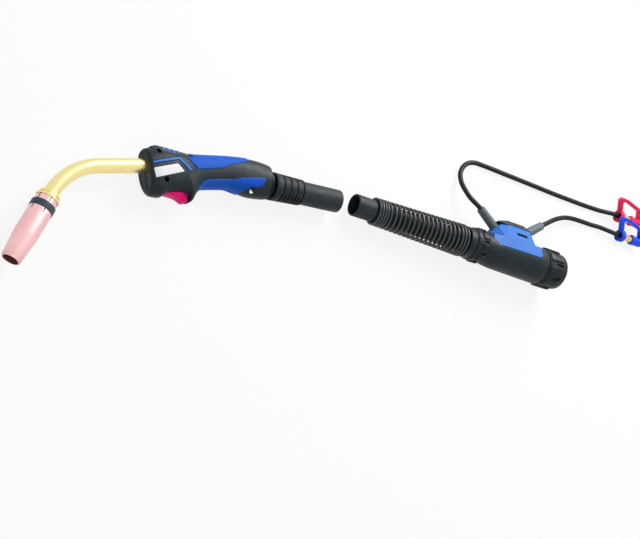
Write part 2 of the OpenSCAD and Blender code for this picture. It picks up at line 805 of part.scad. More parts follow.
module handle_screws() {
    tail = nut_seat_z + screw_head_h + 1;
    color("silver") place() for (p = screw_spots) translate([p[0], p[1], 0]) {
        translate([0, 0, -tail]) cylinder(r = screw_d / 2, h = tail + screw_head_z);
        difference() {
            translate([0, 0, screw_head_z]) cylinder(r = screw_head_d / 2, h = screw_head_h);
            translate([0, 0, screw_head_z + 1]) cylinder(r = 1.3, h = 3, $fn = 6);
        }
    }
}

module handle_nuts() {
    color("silver") place() for (p = screw_spots)
        translate([p[0], p[1], -nut_seat_z - screw_head_h]) difference() {
            cylinder(r = screw_head_d / 2, h = screw_head_h, $fn = 6);
            translate([0, 0, -1]) cylinder(r = screw_d / 2, h = 5);
        }
}

// ---- cable joint ----

module swivel_ring() {
    color(rubber_black) cable_frame() difference() {
        turned([[ball_bore_d / 2 + 2.5, -10], [swivel_r, -10], [swivel_r, shell_end + 0.2],
            [flange_r, shell_end + 0.2], [flange_r, flange_end - 0.4], [flange_r - 0.4, flange_end],
            [ball_r + 0.6, flange_end], [socket_r * cos(asin(5 / socket_r)), 5],
            [socket_r * cos(asin(5 / socket_r)), 4], [ball_bore_d / 2 + 2.5, 4]]);
        sphere(r = socket_r, $fn = 64);
    }
}

module knuckle_ball() {
    color("#16191b") cable_frame() difference() {
        union() {
            intersection() {
                sphere(r = ball_r, $fn = 64);
                translate([0, 0, -9]) cylinder(r = ball_r + 1, h = 30);
            }
            translate([0, 0, 4]) cylinder(r = ball_neck_r, h = boot_wall_end - 4);
        }
        translate([0, 0, -20]) cylinder(r = ball_bore_d / 2, h = 60);
    }
}

module cable_boot() {
    rib_pitch = (boot_len - 4) / boot_ribs;
    drop = (boot_front_d - boot_rear_d) / 2 / boot_len;
    color(rubber_black) cable_frame() difference() {
        turned([[ball_neck_r, boot_start], [boot_front_d / 2 - 0.6, boot_start],
            [boot_front_d / 2, boot_start + 0.6], [boot_rear_d / 2, boot_end - 0.6],
            [boot_rear_d / 2 - 0.6, boot_end], [hose_grip_r, boot_end], [hose_grip_r, boot_wall_end],
            [ball_neck_r, boot_wall_end]]);
        for (i = [1:boot_ribs]) translate([0, 0, boot_start + 1 + i * rib_pitch])
            sleeve(boot_front_d, boot_front_d / 2 - drop * i * rib_pitch - 1, -0.6, 0.6);
        for (i = [2:2 * boot_ribs]) for (side = [0, 180]) rotate([0, 0, side + 90])
            translate([boot_rear_d / 2 - 1.7, -5, boot_start + i * rib_pitch / 2])
                cube([5, 10, 2]);
    }
}

module torch_hose() {
    color("#262b2e") cable_frame() turned([[hose_bore_r, boot_wall_end],
        [hose_grip_r, boot_wall_end], [hose_grip_r, boot_end], [hose_r, boot_end],
        [hose_r, hose_end - 0.8], [hose_r - 0.8, hose_end], [hose_bore_r, hose_end]]);
}

// Four hoses and leads inside a thin jacket
module core_strands(from, to) {
    difference() {
        translate([0, 0, from]) cylinder(r = core_r, h = to - from - 10);
        for (i = [0:3]) translate([strand_spot[i][0], strand_spot[i][1], from - 1])
            cylinder(r = strand_r[i], h = to - from + 10);
    }
    for (i = [0:3]) translate([strand_spot[i][0], strand_spot[i][1], 0])
        sleeve(strand_r[i], strand_r[i] - 1.2, from, to);
}

module torch_core() {
    color("#8a2f2f") cable_frame() core_strands(-core_tail, hose_end - core_recess);
}

// ---- machine end ----

module machine_hose() {
    color("#262b2e") machine_turned() turned([[hose_bore_r, 0], [hose_r - 0.8, 0], [hose_r, 0.8],
        [hose_r, machine_hose_len], [hose_waist_r, machine_hose_len],
        [hose_waist_r, collar_u - clear], [hose_grip_r, collar_u - clear],
        [hose_grip_r, hose_tail_u], [hose_bore_r, hose_tail_u]]);
}

module machine_core() {
    color("#8a2f2f") machine_turned() translate([0, 0, plug_back_u]) mirror([0, 0, 1])
        core_strands(0, plug_back_u - core_recess);
}

// The spring's centre line: turns to a length along the axis
close_span = spring_close_turns * spring_close_pitch;
open_span = spring_open_turns * spring_open_pitch;
function spring_u(t) = t < spring_close_turns ? t * spring_close_pitch
    : t < spring_close_turns + spring_open_turns
        ? close_span + (t - spring_close_turns) * spring_open_pitch
    : close_span + open_span + (t - spring_close_turns - spring_open_turns) * spring_end_pitch;
function spring_r(t) = (spring_front_d + (spring_rear_d - spring_front_d) * spring_u(t) / spring_len
    - spring_wire_d) / 2;
function spring_point(t) = [spring_start + spring_u(t), spring_r(t) * cos(360 * t),
    spring_r(t) * sin(360 * t)];
spring_steps = 8 * spring_turns;
spring_line = [for (i = [0:spring_steps]) spring_point(i / 8)];
function wire_ring(i) = let (t = i / 8, out = [0, cos(360 * t), sin(360 * t)])
    [for (k = [0:5]) spring_line[i] + spring_wire_d / 2
        * (cos(60 * k) * out + sin(60 * k) * [1, 0, 0])];
// The hose is thin enough under the spring to clear the straight chords of its front turn
hose_waist_r = (spring_front_d - spring_wire_d) / 2 * cos(360 / 16) - spring_wire_d / 2 - running;
spring_gap = min([for (i = [0:spring_steps - 8]) norm(spring_line[i + 8] - spring_line[i])])
    - spring_wire_d;
echo(least_spring_gap = spring_gap);

module cable_spring() {
    color("#3c4347") machine_frame() polyhedron(
        [for (i = [0:spring_steps]) each wire_ring(i)], skin(spring_steps + 1, 6), convexity = 20);
}

module spring_collar() {
    color(rubber_black) machine_turned() turned([[hose_grip_r, collar_u],
        [collar_d / 2 - 1, collar_u], [collar_d / 2, collar_u + 1],
        [collar_d / 2, collar_u + collar_len - 0.4],
        [collar_d / 2 - 0.4, collar_u + collar_len], [hose_grip_r, collar_u + collar_len]]);
}

module front_ring() {
    color(rubber_black) machine_turned() difference() {
        union() {
            turned([[nose_r + running, ring_u], [front_ring_d / 2 - 0.8, ring_u],
                [front_ring_d / 2, ring_u + 0.8], [front_ring_d / 2, ring_u + front_ring_len - 0.8],
                [front_ring_d / 2 - 0.8, ring_u + front_ring_len],
                [nose_r + running, ring_u + front_ring_len]]);
            lobe_set(front_ring_d / 2, front_lobe, ring_u + 3, ring_u + front_ring_len - 2);
        }
        for (i = [0:lobes - 1]) rotate([0, 0, 360 * i / lobes])
            translate([front_ring_d / 2 - 1.6, -0.8, ring_u + 7]) cube([5, 1.6, 8]);
    }
}

module connector_housing() {
    r0 = housing_front_d / 2;
    r1 = housing_rear_d / 2;
    color(shell_black) machine_turned() difference() {
        turned([[hose_grip_r, collar_u + collar_len], [nose_r, collar_u + collar_len],
            [nose_r, housing_u], [r0 - 0.8, housing_u], [r0, housing_u + 0.8],
            [r0 + 2.6, housing_u + housing_swell * 0.5], [r1 - 1, housing_u + housing_swell],
            [r1, housing_end - 12], [r1, housing_end - 0.6], [r1 - 0.6, housing_end],
            [plug_neck_r, housing_end], [plug_neck_r, housing_end - 16],
            [r1 - 1 - housing_wall, housing_end - 17],
            [r1 - 1 - housing_wall, housing_u + housing_swell],
            [r0 - housing_wall, housing_u + 4], [hose_grip_r, housing_u + 3]]);
        translate([-9, 6, housing_u + 20]) cube([18, 30, 50]);
    }
}

// A thin plate in plan, wider or narrower at its rear
module plan_plate(u, v, w, shrink) {
    translate([0, v, 0]) rotate([-90, 0, 0]) linear_extrude(height = 0.5) polygon([
        [u[0] + shrink, w[0] - shrink], [u[1] - shrink, w[1] - shrink],
        [u[1] - shrink, shrink - w[1]], [u[0] + shrink, shrink - w[0]]]);
}

// The saddle's upper part, narrower towards the cap
module saddle_block(shrink) {
    hull() {
        plan_plate(saddle_waist_u, saddle_waist_v - 3, saddle_waist_w, shrink);
        plan_plate(saddle_top_u, saddle_h - 0.5 - shrink, [saddle_top_w, saddle_top_w], shrink);
    }
}

// The skirt that follows the housing down to its widest line
module saddle_skirt() {
    intersection() {
        housing_space(skirt_t);
        translate([0, 0, -40]) linear_extrude(height = 80) polygon([
            [saddle_foot_u[0], saddle_foot_v], [saddle_foot_u[1], saddle_foot_v],
            [saddle_waist_u[1], saddle_waist_v], [saddle_waist_u[1] - 8, saddle_h - 8],
            [saddle_waist_u[0] + 8, saddle_h - 8], [saddle_foot_u[0] + 1.5, saddle_waist_v]]);
    }
}

// The space that the housing fills under the saddle, or a little more
module housing_space(grow) {
    r0 = housing_front_d / 2 + grow;
    r1 = housing_rear_d / 2 + grow;
    rotate([0, 90, 0]) turned([[0, housing_u - 1], [r0, housing_u - 1], [r0, housing_u + 0.8],
        [r0 + 2.6, housing_u + housing_swell * 0.5], [r1 - 1, housing_u + housing_swell],
        [r1, housing_end - 12], [r1, housing_end + 1], [0, housing_end + 1]]);
}

module gland_way(at, turn, r) {
    translate([at[0], at[1], 0]) rotate([0, 0, turn]) rotate([0, 90, 0])
        translate([0, 0, -10]) cylinder(r = r, h = 60);
}

module hose_saddle() {
    color(light_blue) machine_frame() difference() {
        union() {
            saddle_block(0);
            saddle_skirt();
        }
        saddle_block(saddle_wall);
        housing_space(0);
        gland_way(gland_front_at, gland_front_turn, gland_base_d / 2);
        gland_way(gland_rear_at, gland_rear_turn, gland_base_d / 2);
        for (side = [1, -1]) translate([saddle_slot[0], saddle_slot[1], side * 15.2 - 2])
            cube([saddle_slot[2], saddle_slot[3], 4]);
        translate([cap_screw_u, saddle_h - 5, 0]) rotate([-90, 0, 0])
            cylinder(r = screw_d / 2, h = 20);
    }
}

module saddle_cap() {
    color(rubber_black) machine_frame() difference() {
        translate([0, 0, -cap_w]) linear_extrude(height = 2 * cap_w) polygon(
            [[saddle_top_u[0], saddle_h], [saddle_top_u[0] + 5, saddle_h + cap_h * 0.45],
            [saddle_top_u[0] + 19, saddle_h + cap_h], [saddle_top_u[1] - 10, saddle_h + cap_h],
            [saddle_top_u[1], saddle_h]]);
        gland_way(gland_front_at, gland_front_turn, gland_base_d / 2);
        gland_way(gland_rear_at, gland_rear_turn, gland_base_d / 2);
        translate([cap_screw_u, saddle_h - 1, 0]) rotate([-90, 0, 0]) {
            cylinder(r = screw_d / 2 + 0.1, h = 20);
            translate([0, 0, cap_h - 1.6]) cylinder(r = screw_head_d / 2 + 0.1, h = 10);
        }
    }
}

module saddle_screw() {
    color("silver") machine_frame() translate([cap_screw_u, saddle_h - 5, 0])
        rotate([-90, 0, 0]) difference() {
            union() {
                cylinder(r = screw_d / 2, h = cap_h + 3);
                translate([0, 0, cap_h + 2.4]) cylinder(r = screw_head_d / 2, h = 2);
            }
            translate([0, 0, cap_h + 3.2]) cylinder(r = 1.2, h = 4, $fn = 6);
        }
}

// A grey bend relief with a bore for its hose
module gland(at, turn) {
    color("#63727a") machine_frame() translate([at[0], at[1], 0]) rotate([0, 0, turn])
        rotate([0, 90, 0]) turned([[coolant_r + 0.1, -4], [gland_base_d / 2, -4],
            [gland_base_d / 2, 3], [gland_base_d / 2 - 0.6, 3.4], [gland_tip_d / 2, gland_len - 1],
            [gland_tip_d / 2 - 0.8, gland_len], [coolant_r + 0.1, gland_len]]);
}

module gland_front() {
    gland(gland_front_at, gland_front_turn);
}

module gland_rear() {
    gland(gland_rear_at, gland_rear_turn);
}

module plug_body() {
    color("#3a3f44") machine_turned() difference() {
        turned([[brass_r, plug_back_u], [plug_neck_r - 2, plug_back_u],
            [plug_neck_r - 2, housing_end - 16], [plug_neck_r, housing_end - 16],
            [plug_neck_r, flange_u], [plug_flange_r, flange_u], [plug_flange_r, plug_face_u],
            [brass_r, plug_face_u]]);
        for (side = [1, -1]) translate([-side * contact_pin_r, 0, plug_face_u - 16])
            cylinder(r = contact_pin_d / 2 + running, h = 20);
    }
}

module central_plug() {
    color(gold) machine_turned() turned([[wire_inlet_r, plug_back_u], [brass_r, plug_back_u],
        [brass_r, plug_face_u + 1], [brass_r - 1.4, plug_face_u + 2.4],
        [brass_r - 1.4, nut_end + rim_len - 1 - plug_nose_len],
        [plug_nose_d / 2, nut_end + rim_len - 1 - plug_nose_len],
        [plug_nose_d / 2, nut_end + rim_len - 1],
        [wire_inlet_r, nut_end + rim_len - 1]]);
}

module plug_seal() {
    color("#16191b") machine_turned() sleeve(brass_r + 1, brass_r, plug_face_u,
        plug_face_u + 1);
}

module union_nut() {
    color(rubber_black) machine_turned() difference() {
        union() {
            turned([[plug_neck_r + running, nut_u], [nut_d / 2 - 0.8, nut_u],
                [nut_d / 2, nut_u + 0.8], [nut_d / 2, nut_end - 0.8], [nut_d / 2 - 0.9, nut_end],
                [nut_d / 2 - 0.9, nut_end + rim_len - 0.8],
                [nut_d / 2 - 1.7, nut_end + rim_len], [nut_bore_r, nut_end + rim_len],
                [nut_bore_r, nut_u + nut_lip], [plug_neck_r + running, nut_u + nut_lip]]);
            lobe_set(nut_d / 2, nut_lobe, nut_u + 2, nut_end - 3);
        }
        for (i = [0:lobes - 1]) rotate([0, 0, 360 * i / lobes])
            translate([nut_d / 2 - 1.6, -1, nut_u + 18]) cube([5, 2, 11]);
    }
}

module contact_pin(side) {
    color(gold) machine_turned() translate([-side * contact_pin_r, 0,
        plug_face_u + pin_out - pin_len]) cylinder(r = contact_pin_d / 2, h = pin_len);
}

module contact_pin_upper() {
    contact_pin(1);
}

module contact_pin_lower() {
    contact_pin(-1);
}

// ---- coolant hoses ----

// A point of the machine end's own frame, in the working frame
function from_machine(u, v) = let (c = cos(machine_drop), s = sin(machine_drop),
    run = u * cos(machine_tilt))
    [machine_at[0] + run * c + v * s, machine_at[1] - run * s + v * c,
        machine_z + u * sin(machine_tilt)];
function gland_point(at, turn, d) = from_machine(at[0] + d * cos(turn), at[1] + d * sin(turn));
function coupling_point(at, d) = [at[0] + d * cos(machine_drop), at[1] - d * sin(machine_drop),
    clip_z];
function hose_route(at, turn, middle, heights, to) = concat(
    [gland_point(at, turn, gland_len - 4), gland_point(at, turn, gland_len + 4)],
    [for (i = [0:len(middle) - 1]) [middle[i][0], middle[i][1], lie_z + heights[i]]],
    [coupling_point(to, -clip_ring_w / 2 - 9), coupling_point(to, 0)]);
// Points on a smooth curve through the route, a few per stretch
function spline(p, i, t) = let (a = p[max(i - 1, 0)], b = p[i], c = p[i + 1],
    d = p[min(i + 2, len(p) - 1)])
    0.5 * (2 * b + (c - a) * t + (2 * a - 5 * b + 4 * c - d) * t * t
        + (3 * b - a - 3 * c + d) * t * t * t);
function smooth(p, steps) = concat(
    [for (i = [0:len(p) - 2]) for (k = [0:steps - 1]) spline(p, i, k / steps)], [p[len(p) - 1]]);

module coolant_hose_red() {
    route = hose_route(gland_front_at, gland_front_turn, red_middle, red_heights, red_at);
    color(rubber_black) place() swept(smooth(route, 2), coolant_r, cord_sides);
}

module coolant_hose_blue() {
    route = hose_route(gland_rear_at, gland_rear_turn, blue_middle, blue_heights, blue_at);
    color(rubber_black) place() swept(smooth(route, 2), coolant_r, cord_sides);
}

module coupling_plug(at) {
    r = plug_d / 2;
    color(gold) coupling_frame(at) rotate([0, 90, 0]) turned([[2, 0], [r - 0.2, 0],
        [r - 0.2, clip_ring_w / 2], [r + 0.8, clip_ring_w / 2 + 0.2], [r + 0.8, clip_ring_w / 2 + 3],
        [r, clip_ring_w / 2 + 3.4], [r, 14], [r - 1, 15], [r - 1, 18], [r, 19], [r, 32],
        [r - 1, 33], [2, 33]]);
}

// Ring, strap and dust cap moulded in one piece
module coupling_clip(at) {
    half = clip_ring_w / 2;
    far = clip_mouth + 18.5;
    foot = 4;
    strap = [[-half, foot], [-half, clip_reach], [-1, clip_reach + 2], [9, clip_reach + 2],
        [far, clip_reach - 3.5], [far, foot], [far - strap_t, foot], [far - strap_t, clip_reach - 6.5],
        [10, clip_reach - 2.5], [half - 1, clip_reach - 4], [half - 1, foot]];
    coupling_frame(at) rotate([clip_lift, 0, 0]) difference() {
        union() {
            rotate([0, 90, 0]) cylinder(r = clip_ring_d / 2, h = clip_ring_w, center = true);
            translate([clip_mouth, 0, 0]) rotate([0, 90, 0])
                cylinder(r = clip_cap_d / 2, h = clip_cap_len);
            translate([0, 0, -strap_w / 2]) linear_extrude(height = strap_w) polygon(
                [for (p = strap) [p[0] - strap_lean * (p[1] - foot) / clip_reach, p[1]]]);
        }
        rotate([0, 90, 0]) translate([0, 0, -10]) cylinder(r = coolant_r + 0.1, h = 10.1);
        rotate([0, 90, 0]) cylinder(r = plug_d / 2 - 0.2, h = 10);
        rotate([0, 90, 0]) translate([0, 0, clip_mouth - 1])
            cylinder(r = plug_d / 2, h = 33.2 - clip_mouth + 1);
    }
}

module coupling_plug_red() {
    coupling_plug(red_at);
}

module coupling_plug_blue() {
    coupling_plug(blue_at);
}

module coupling_clip_red() {
    color("#ee2f68") coupling_clip(red_at);
}

module coupling_clip_blue() {
    color("#3157f0") coupling_clip(blue_at);
}

gas_nozzle();
nozzle_ring();
contact_tip();
tip_holder();
gas_diffuser();
neck_collar();
swan_neck();
neck_core();
wire_liner();
neck_clamp();
neck_block();
lead_bundle();
handle_left();
handle_right();
grip_upper_left();
grip_upper_right();
grip_lower_left();
grip_lower_right();
stripe_left();
stripe_right();
plate_left();
plate_right();
top_pad();
pad_ridge_set();
trigger();
trigger_pin();
trigger_spring();
micro_switch();
switch_plunger();
handle_screws();
handle_nuts();
swivel_ring();
knuckle_ball();
cable_boot();
torch_hose();
torch_core();
machine_hose();
machine_core();
cable_spring();
spring_collar();
front_ring();
connector_housing();
hose_saddle();
saddle_cap();
saddle_screw();
gland_front();
gland_rear();
plug_body();
central_plug();
plug_seal();
union_nut();
contact_pin_upper();
contact_pin_lower();
coolant_hose_red();
coolant_hose_blue();
coupling_plug_red();
coupling_plug_blue();
coupling_clip_red();
coupling_clip_blue();
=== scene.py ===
"""The looks of a water-cooled MIG welding torch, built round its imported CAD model.

Sizes are in millimetres in each sub-assembly's own frame. A piece is written in metres when it is placed.
"""

from __future__ import annotations

import json
import logging
import math
from collections.abc import Sequence
from dataclasses import dataclass, field
from enum import Enum

import bmesh
import bpy
import numpy as np
from mathutils import Matrix, Vector
from mathutils.geometry import delaunay_2d_cdt

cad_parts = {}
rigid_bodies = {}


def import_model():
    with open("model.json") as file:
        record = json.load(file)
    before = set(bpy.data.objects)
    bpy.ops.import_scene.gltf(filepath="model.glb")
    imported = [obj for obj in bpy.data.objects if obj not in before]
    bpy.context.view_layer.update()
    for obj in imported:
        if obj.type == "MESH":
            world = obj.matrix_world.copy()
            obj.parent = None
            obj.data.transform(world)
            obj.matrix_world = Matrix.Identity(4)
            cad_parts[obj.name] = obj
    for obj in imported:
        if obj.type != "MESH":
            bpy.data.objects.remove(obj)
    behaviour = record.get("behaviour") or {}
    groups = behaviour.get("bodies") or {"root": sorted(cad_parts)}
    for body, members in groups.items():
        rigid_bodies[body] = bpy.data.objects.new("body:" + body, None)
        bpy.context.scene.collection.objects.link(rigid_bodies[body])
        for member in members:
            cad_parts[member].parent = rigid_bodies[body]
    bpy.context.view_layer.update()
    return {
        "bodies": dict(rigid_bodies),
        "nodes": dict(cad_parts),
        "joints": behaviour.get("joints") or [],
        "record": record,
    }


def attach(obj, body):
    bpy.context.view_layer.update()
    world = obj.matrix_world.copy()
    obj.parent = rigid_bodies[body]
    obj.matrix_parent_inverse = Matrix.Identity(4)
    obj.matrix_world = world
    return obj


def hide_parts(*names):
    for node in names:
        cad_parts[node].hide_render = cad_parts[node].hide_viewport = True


Colour = tuple[float, float, float]
Flat = tuple[float, float]
Spot = tuple[float, float, float]
Socket = bpy.types.NodeSocket

LOG = logging.getLogger("torch")
MM = 0.001
TINY = 1e-6
UP = Vector((0, 0, 1))
QUARTER = (22.5, 45, 67.5, 90)  # the steps of a rounded rim, in degrees
STRAIGHT = 1.55  # half the angle, in radians, from which a corner is as good as straight
CORNER_SHARE = 0.48  # the most of an edge that the rounding of one corner takes up
WELD = 0.002  # points of a finished piece that lie closer than this are one


# ---- frames ----


def cos_sin(degrees: float) -> Flat:
    """The cosine and the sine of an angle."""
    return math.cos(math.radians(degrees)), math.sin(math.radians(degrees))


@dataclass(frozen=True)
class Place:
    """A frame: its origin in millimetres and its three directions."""

    origin: Vector
    x: Vector
    y: Vector
    z: Vector

    @staticmethod
    def upright(origin: Vector, along: Vector) -> Place:
        """A frame whose X is given and whose Z stands up."""
        return Place(origin, along, UP.cross(along), UP)

    def out(self, p: Spot | Vector) -> Vector:
        """The point of the shared frame, in millimetres, that a local point stands for."""
        return self.origin + self.x * p[0] + self.y * p[1] + self.z * p[2]

    def rolled(self, degrees: float) -> Place:
        """This frame turned about its own X."""
        c, s = cos_sin(degrees)
        return Place(self.origin, self.x, self.y * c + self.z * s, self.z * c - self.y * s)

    def branch(self, at: Flat, degrees: float) -> Place:
        """A frame at a point of this one's XY plane, turned about its Z."""
        c, s = cos_sin(degrees)
        return Place(self.out((*at, 0)), self.x * c + self.y * s, self.y * c - self.x * s, self.z)


PLAIN = Place(Vector((0, 0, 0)), Vector((1, 0, 0)), Vector((0, 1, 0)), UP)


@dataclass(frozen=True)
class Layout:
    """Where each sub-assembly lies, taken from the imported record's joints and mounts."""

    work: Place
    nozzle: Place
    cable: Place
    machine: Place
    red: Place
    blue: Place

    @staticmethod
    def read(frame: dict) -> Layout:
        """Works the frames out.

        Args:
        Returns:
            The layout.
        """
        joints = {j["name"]: j for j in frame["joints"]}
        mounts = {m["name"]: m for m in frame["record"]["mounts"]}

        def spot(item: dict) -> Vector:
            """An item's place in millimetres."""
            return Vector(item["pos_m"]) / MM

        def way(item: dict) -> Vector:
            """An item's direction."""
            return Vector(item["axis"]).normalized()

        def coupling(mount: dict) -> Place:
            """The frame of a coupling, which lies on its mount's axis."""
            return Place.upright(spot(mount) - way(mount) * Coolant.mount_reach, way(mount))

        start = spot(joints["trigger_pull"]) - Vector((*Handle.pivot, 0))
        corner = TorchEnd.bend_start + TorchEnd.bend_radius * math.tan(math.radians(TorchEnd.bend_angle / 2))
        along = way(joints["union_nut_spin"])
        side = Vector((*reversed(cos_sin(MachineEnd.lean)), 0))
        swivel = joints["handle_swivel"]
        return Layout(
            work=Place(start, PLAIN.x, PLAIN.y, UP),
            nozzle=Place.upright(start - Vector((corner, 0, 0)), way(mounts["wire_exit"])),
            cable=Place.upright(spot(swivel), way(swivel)),
            machine=Place(spot(joints["machine_slide"]), along, side, along.cross(side)),
            red=coupling(mounts["coolant_plug_red"]),
            blue=coupling(mounts["coolant_plug_blue"]))


# ---- outlines and shapes ----


def rounded(outline: Sequence[Flat], radius: float | Sequence[float], steps: int = 4) -> list[Flat]:
    """A closed outline with its corners rounded.

    Args:
        outline: the corners in order.
        radius: one radius, or one for each corner.
        steps: how many stretches a corner is made of.
    Returns:
        The rounded outline.
    """
    made: list[Flat] = []
    for i, p in enumerate(outline):
        r = radius if isinstance(radius, (int, float)) else radius[i]
        ends = outline[i - 1], outline[(i + 1) % len(outline)]
        lengths = [math.dist(p, q) for q in ends]
        if r <= 0 or min(lengths) < TINY:
            made.append(p)
            continue
        (ax, ay), (bx, by) = (((q[0] - p[0]) / n, (q[1] - p[1]) / n) for q, n in zip(ends, lengths))
        half = math.acos(max(-1.0, min(1.0, ax * bx + ay * by))) / 2
        if half > STRAIGHT:
            made.append(p)
            continue
        reach = min(r / math.tan(half), *(CORNER_SHARE * n for n in lengths))
        for k in range(steps + 1):
            t = k / steps
            a, b, c = (1 - t) ** 2, 2 * t * (1 - t), t * t
            made.append((a * (p[0] + ax * reach) + b * p[0] + c * (p[0] + bx * reach),
                         a * (p[1] + ay * reach) + b * p[1] + c * (p[1] + by * reach)))
    return made


def dense(outline: list[Flat], step: float) -> list[Flat]:
    """A closed outline with no stretch longer than a step.

    Args:
        outline: its points in order.
        step: the longest stretch.
    Returns:
        The outline with the points added.
    """
    made: list[Flat] = []
    for i, p in enumerate(outline):
        q = outline[(i + 1) % len(outline)]
        n = max(1, math.ceil(math.dist(p, q) / step))
        made.extend((p[0] + (q[0] - p[0]) * k / n, p[1] + (q[1] - p[1]) * k / n) for k in range(n))
    return made


def pchip(xs: np.ndarray, ys: np.ndarray, at: np.ndarray) -> np.ndarray:
    """A smooth line through points that never overshoots them.

    Args:
        xs: the places of the points, rising.
        ys: their values.
        at: where the line is wanted.
    Returns:
        The line's values there.
    """
    h = np.diff(xs)
    d = np.diff(ys) / h
    m = np.zeros(len(xs))
    for i in range(1, len(xs) - 1):
        if d[i - 1] * d[i] > 0:
            w1, w2 = 2 * h[i] + h[i - 1], h[i] + 2 * h[i - 1]
            m[i] = (w1 + w2) / (w1 / d[i - 1] + w2 / d[i])
    m[0], m[-1] = d[0], d[-1]
    k = np.clip(np.searchsorted(xs, at) - 1, 0, len(xs) - 2)
    t = (at - xs[k]) / h[k]
    return ((1 + 2 * t) * (1 - t) ** 2 * ys[k] + t * (1 - t) ** 2 * h[k] * m[k]
            + t * t * (3 - 2 * t) * ys[k + 1] + t * t * (t - 1) * h[k] * m[k + 1])


def angles(steps: int) -> list[float]:
    """The angles of a full turn in even steps, in radians."""
    return [2 * math.pi * k / steps for k in range(steps)]


def turned(line: list[Flat], angle: float) -> list[Spot]:
    """A line of radii and places along X, turned about X."""
    return [(u, r * math.cos(angle), r * math.sin(angle)) for r, u in line]


def link(name: str, data: bpy.types.ID) -> bpy.types.Object:
    """Puts an object of some data into the scene.

    Args:
        name: the object's name.
        data: its mesh, lamp or camera.
    Returns:
        The object.
    """
    thing = bpy.data.objects.new(name, data)
    bpy.context.scene.collection.objects.link(thing)
    return thing


class Join(Enum):
    """How two shapes are put together."""

    CUT = "DIFFERENCE"
    MERGE = "UNION"


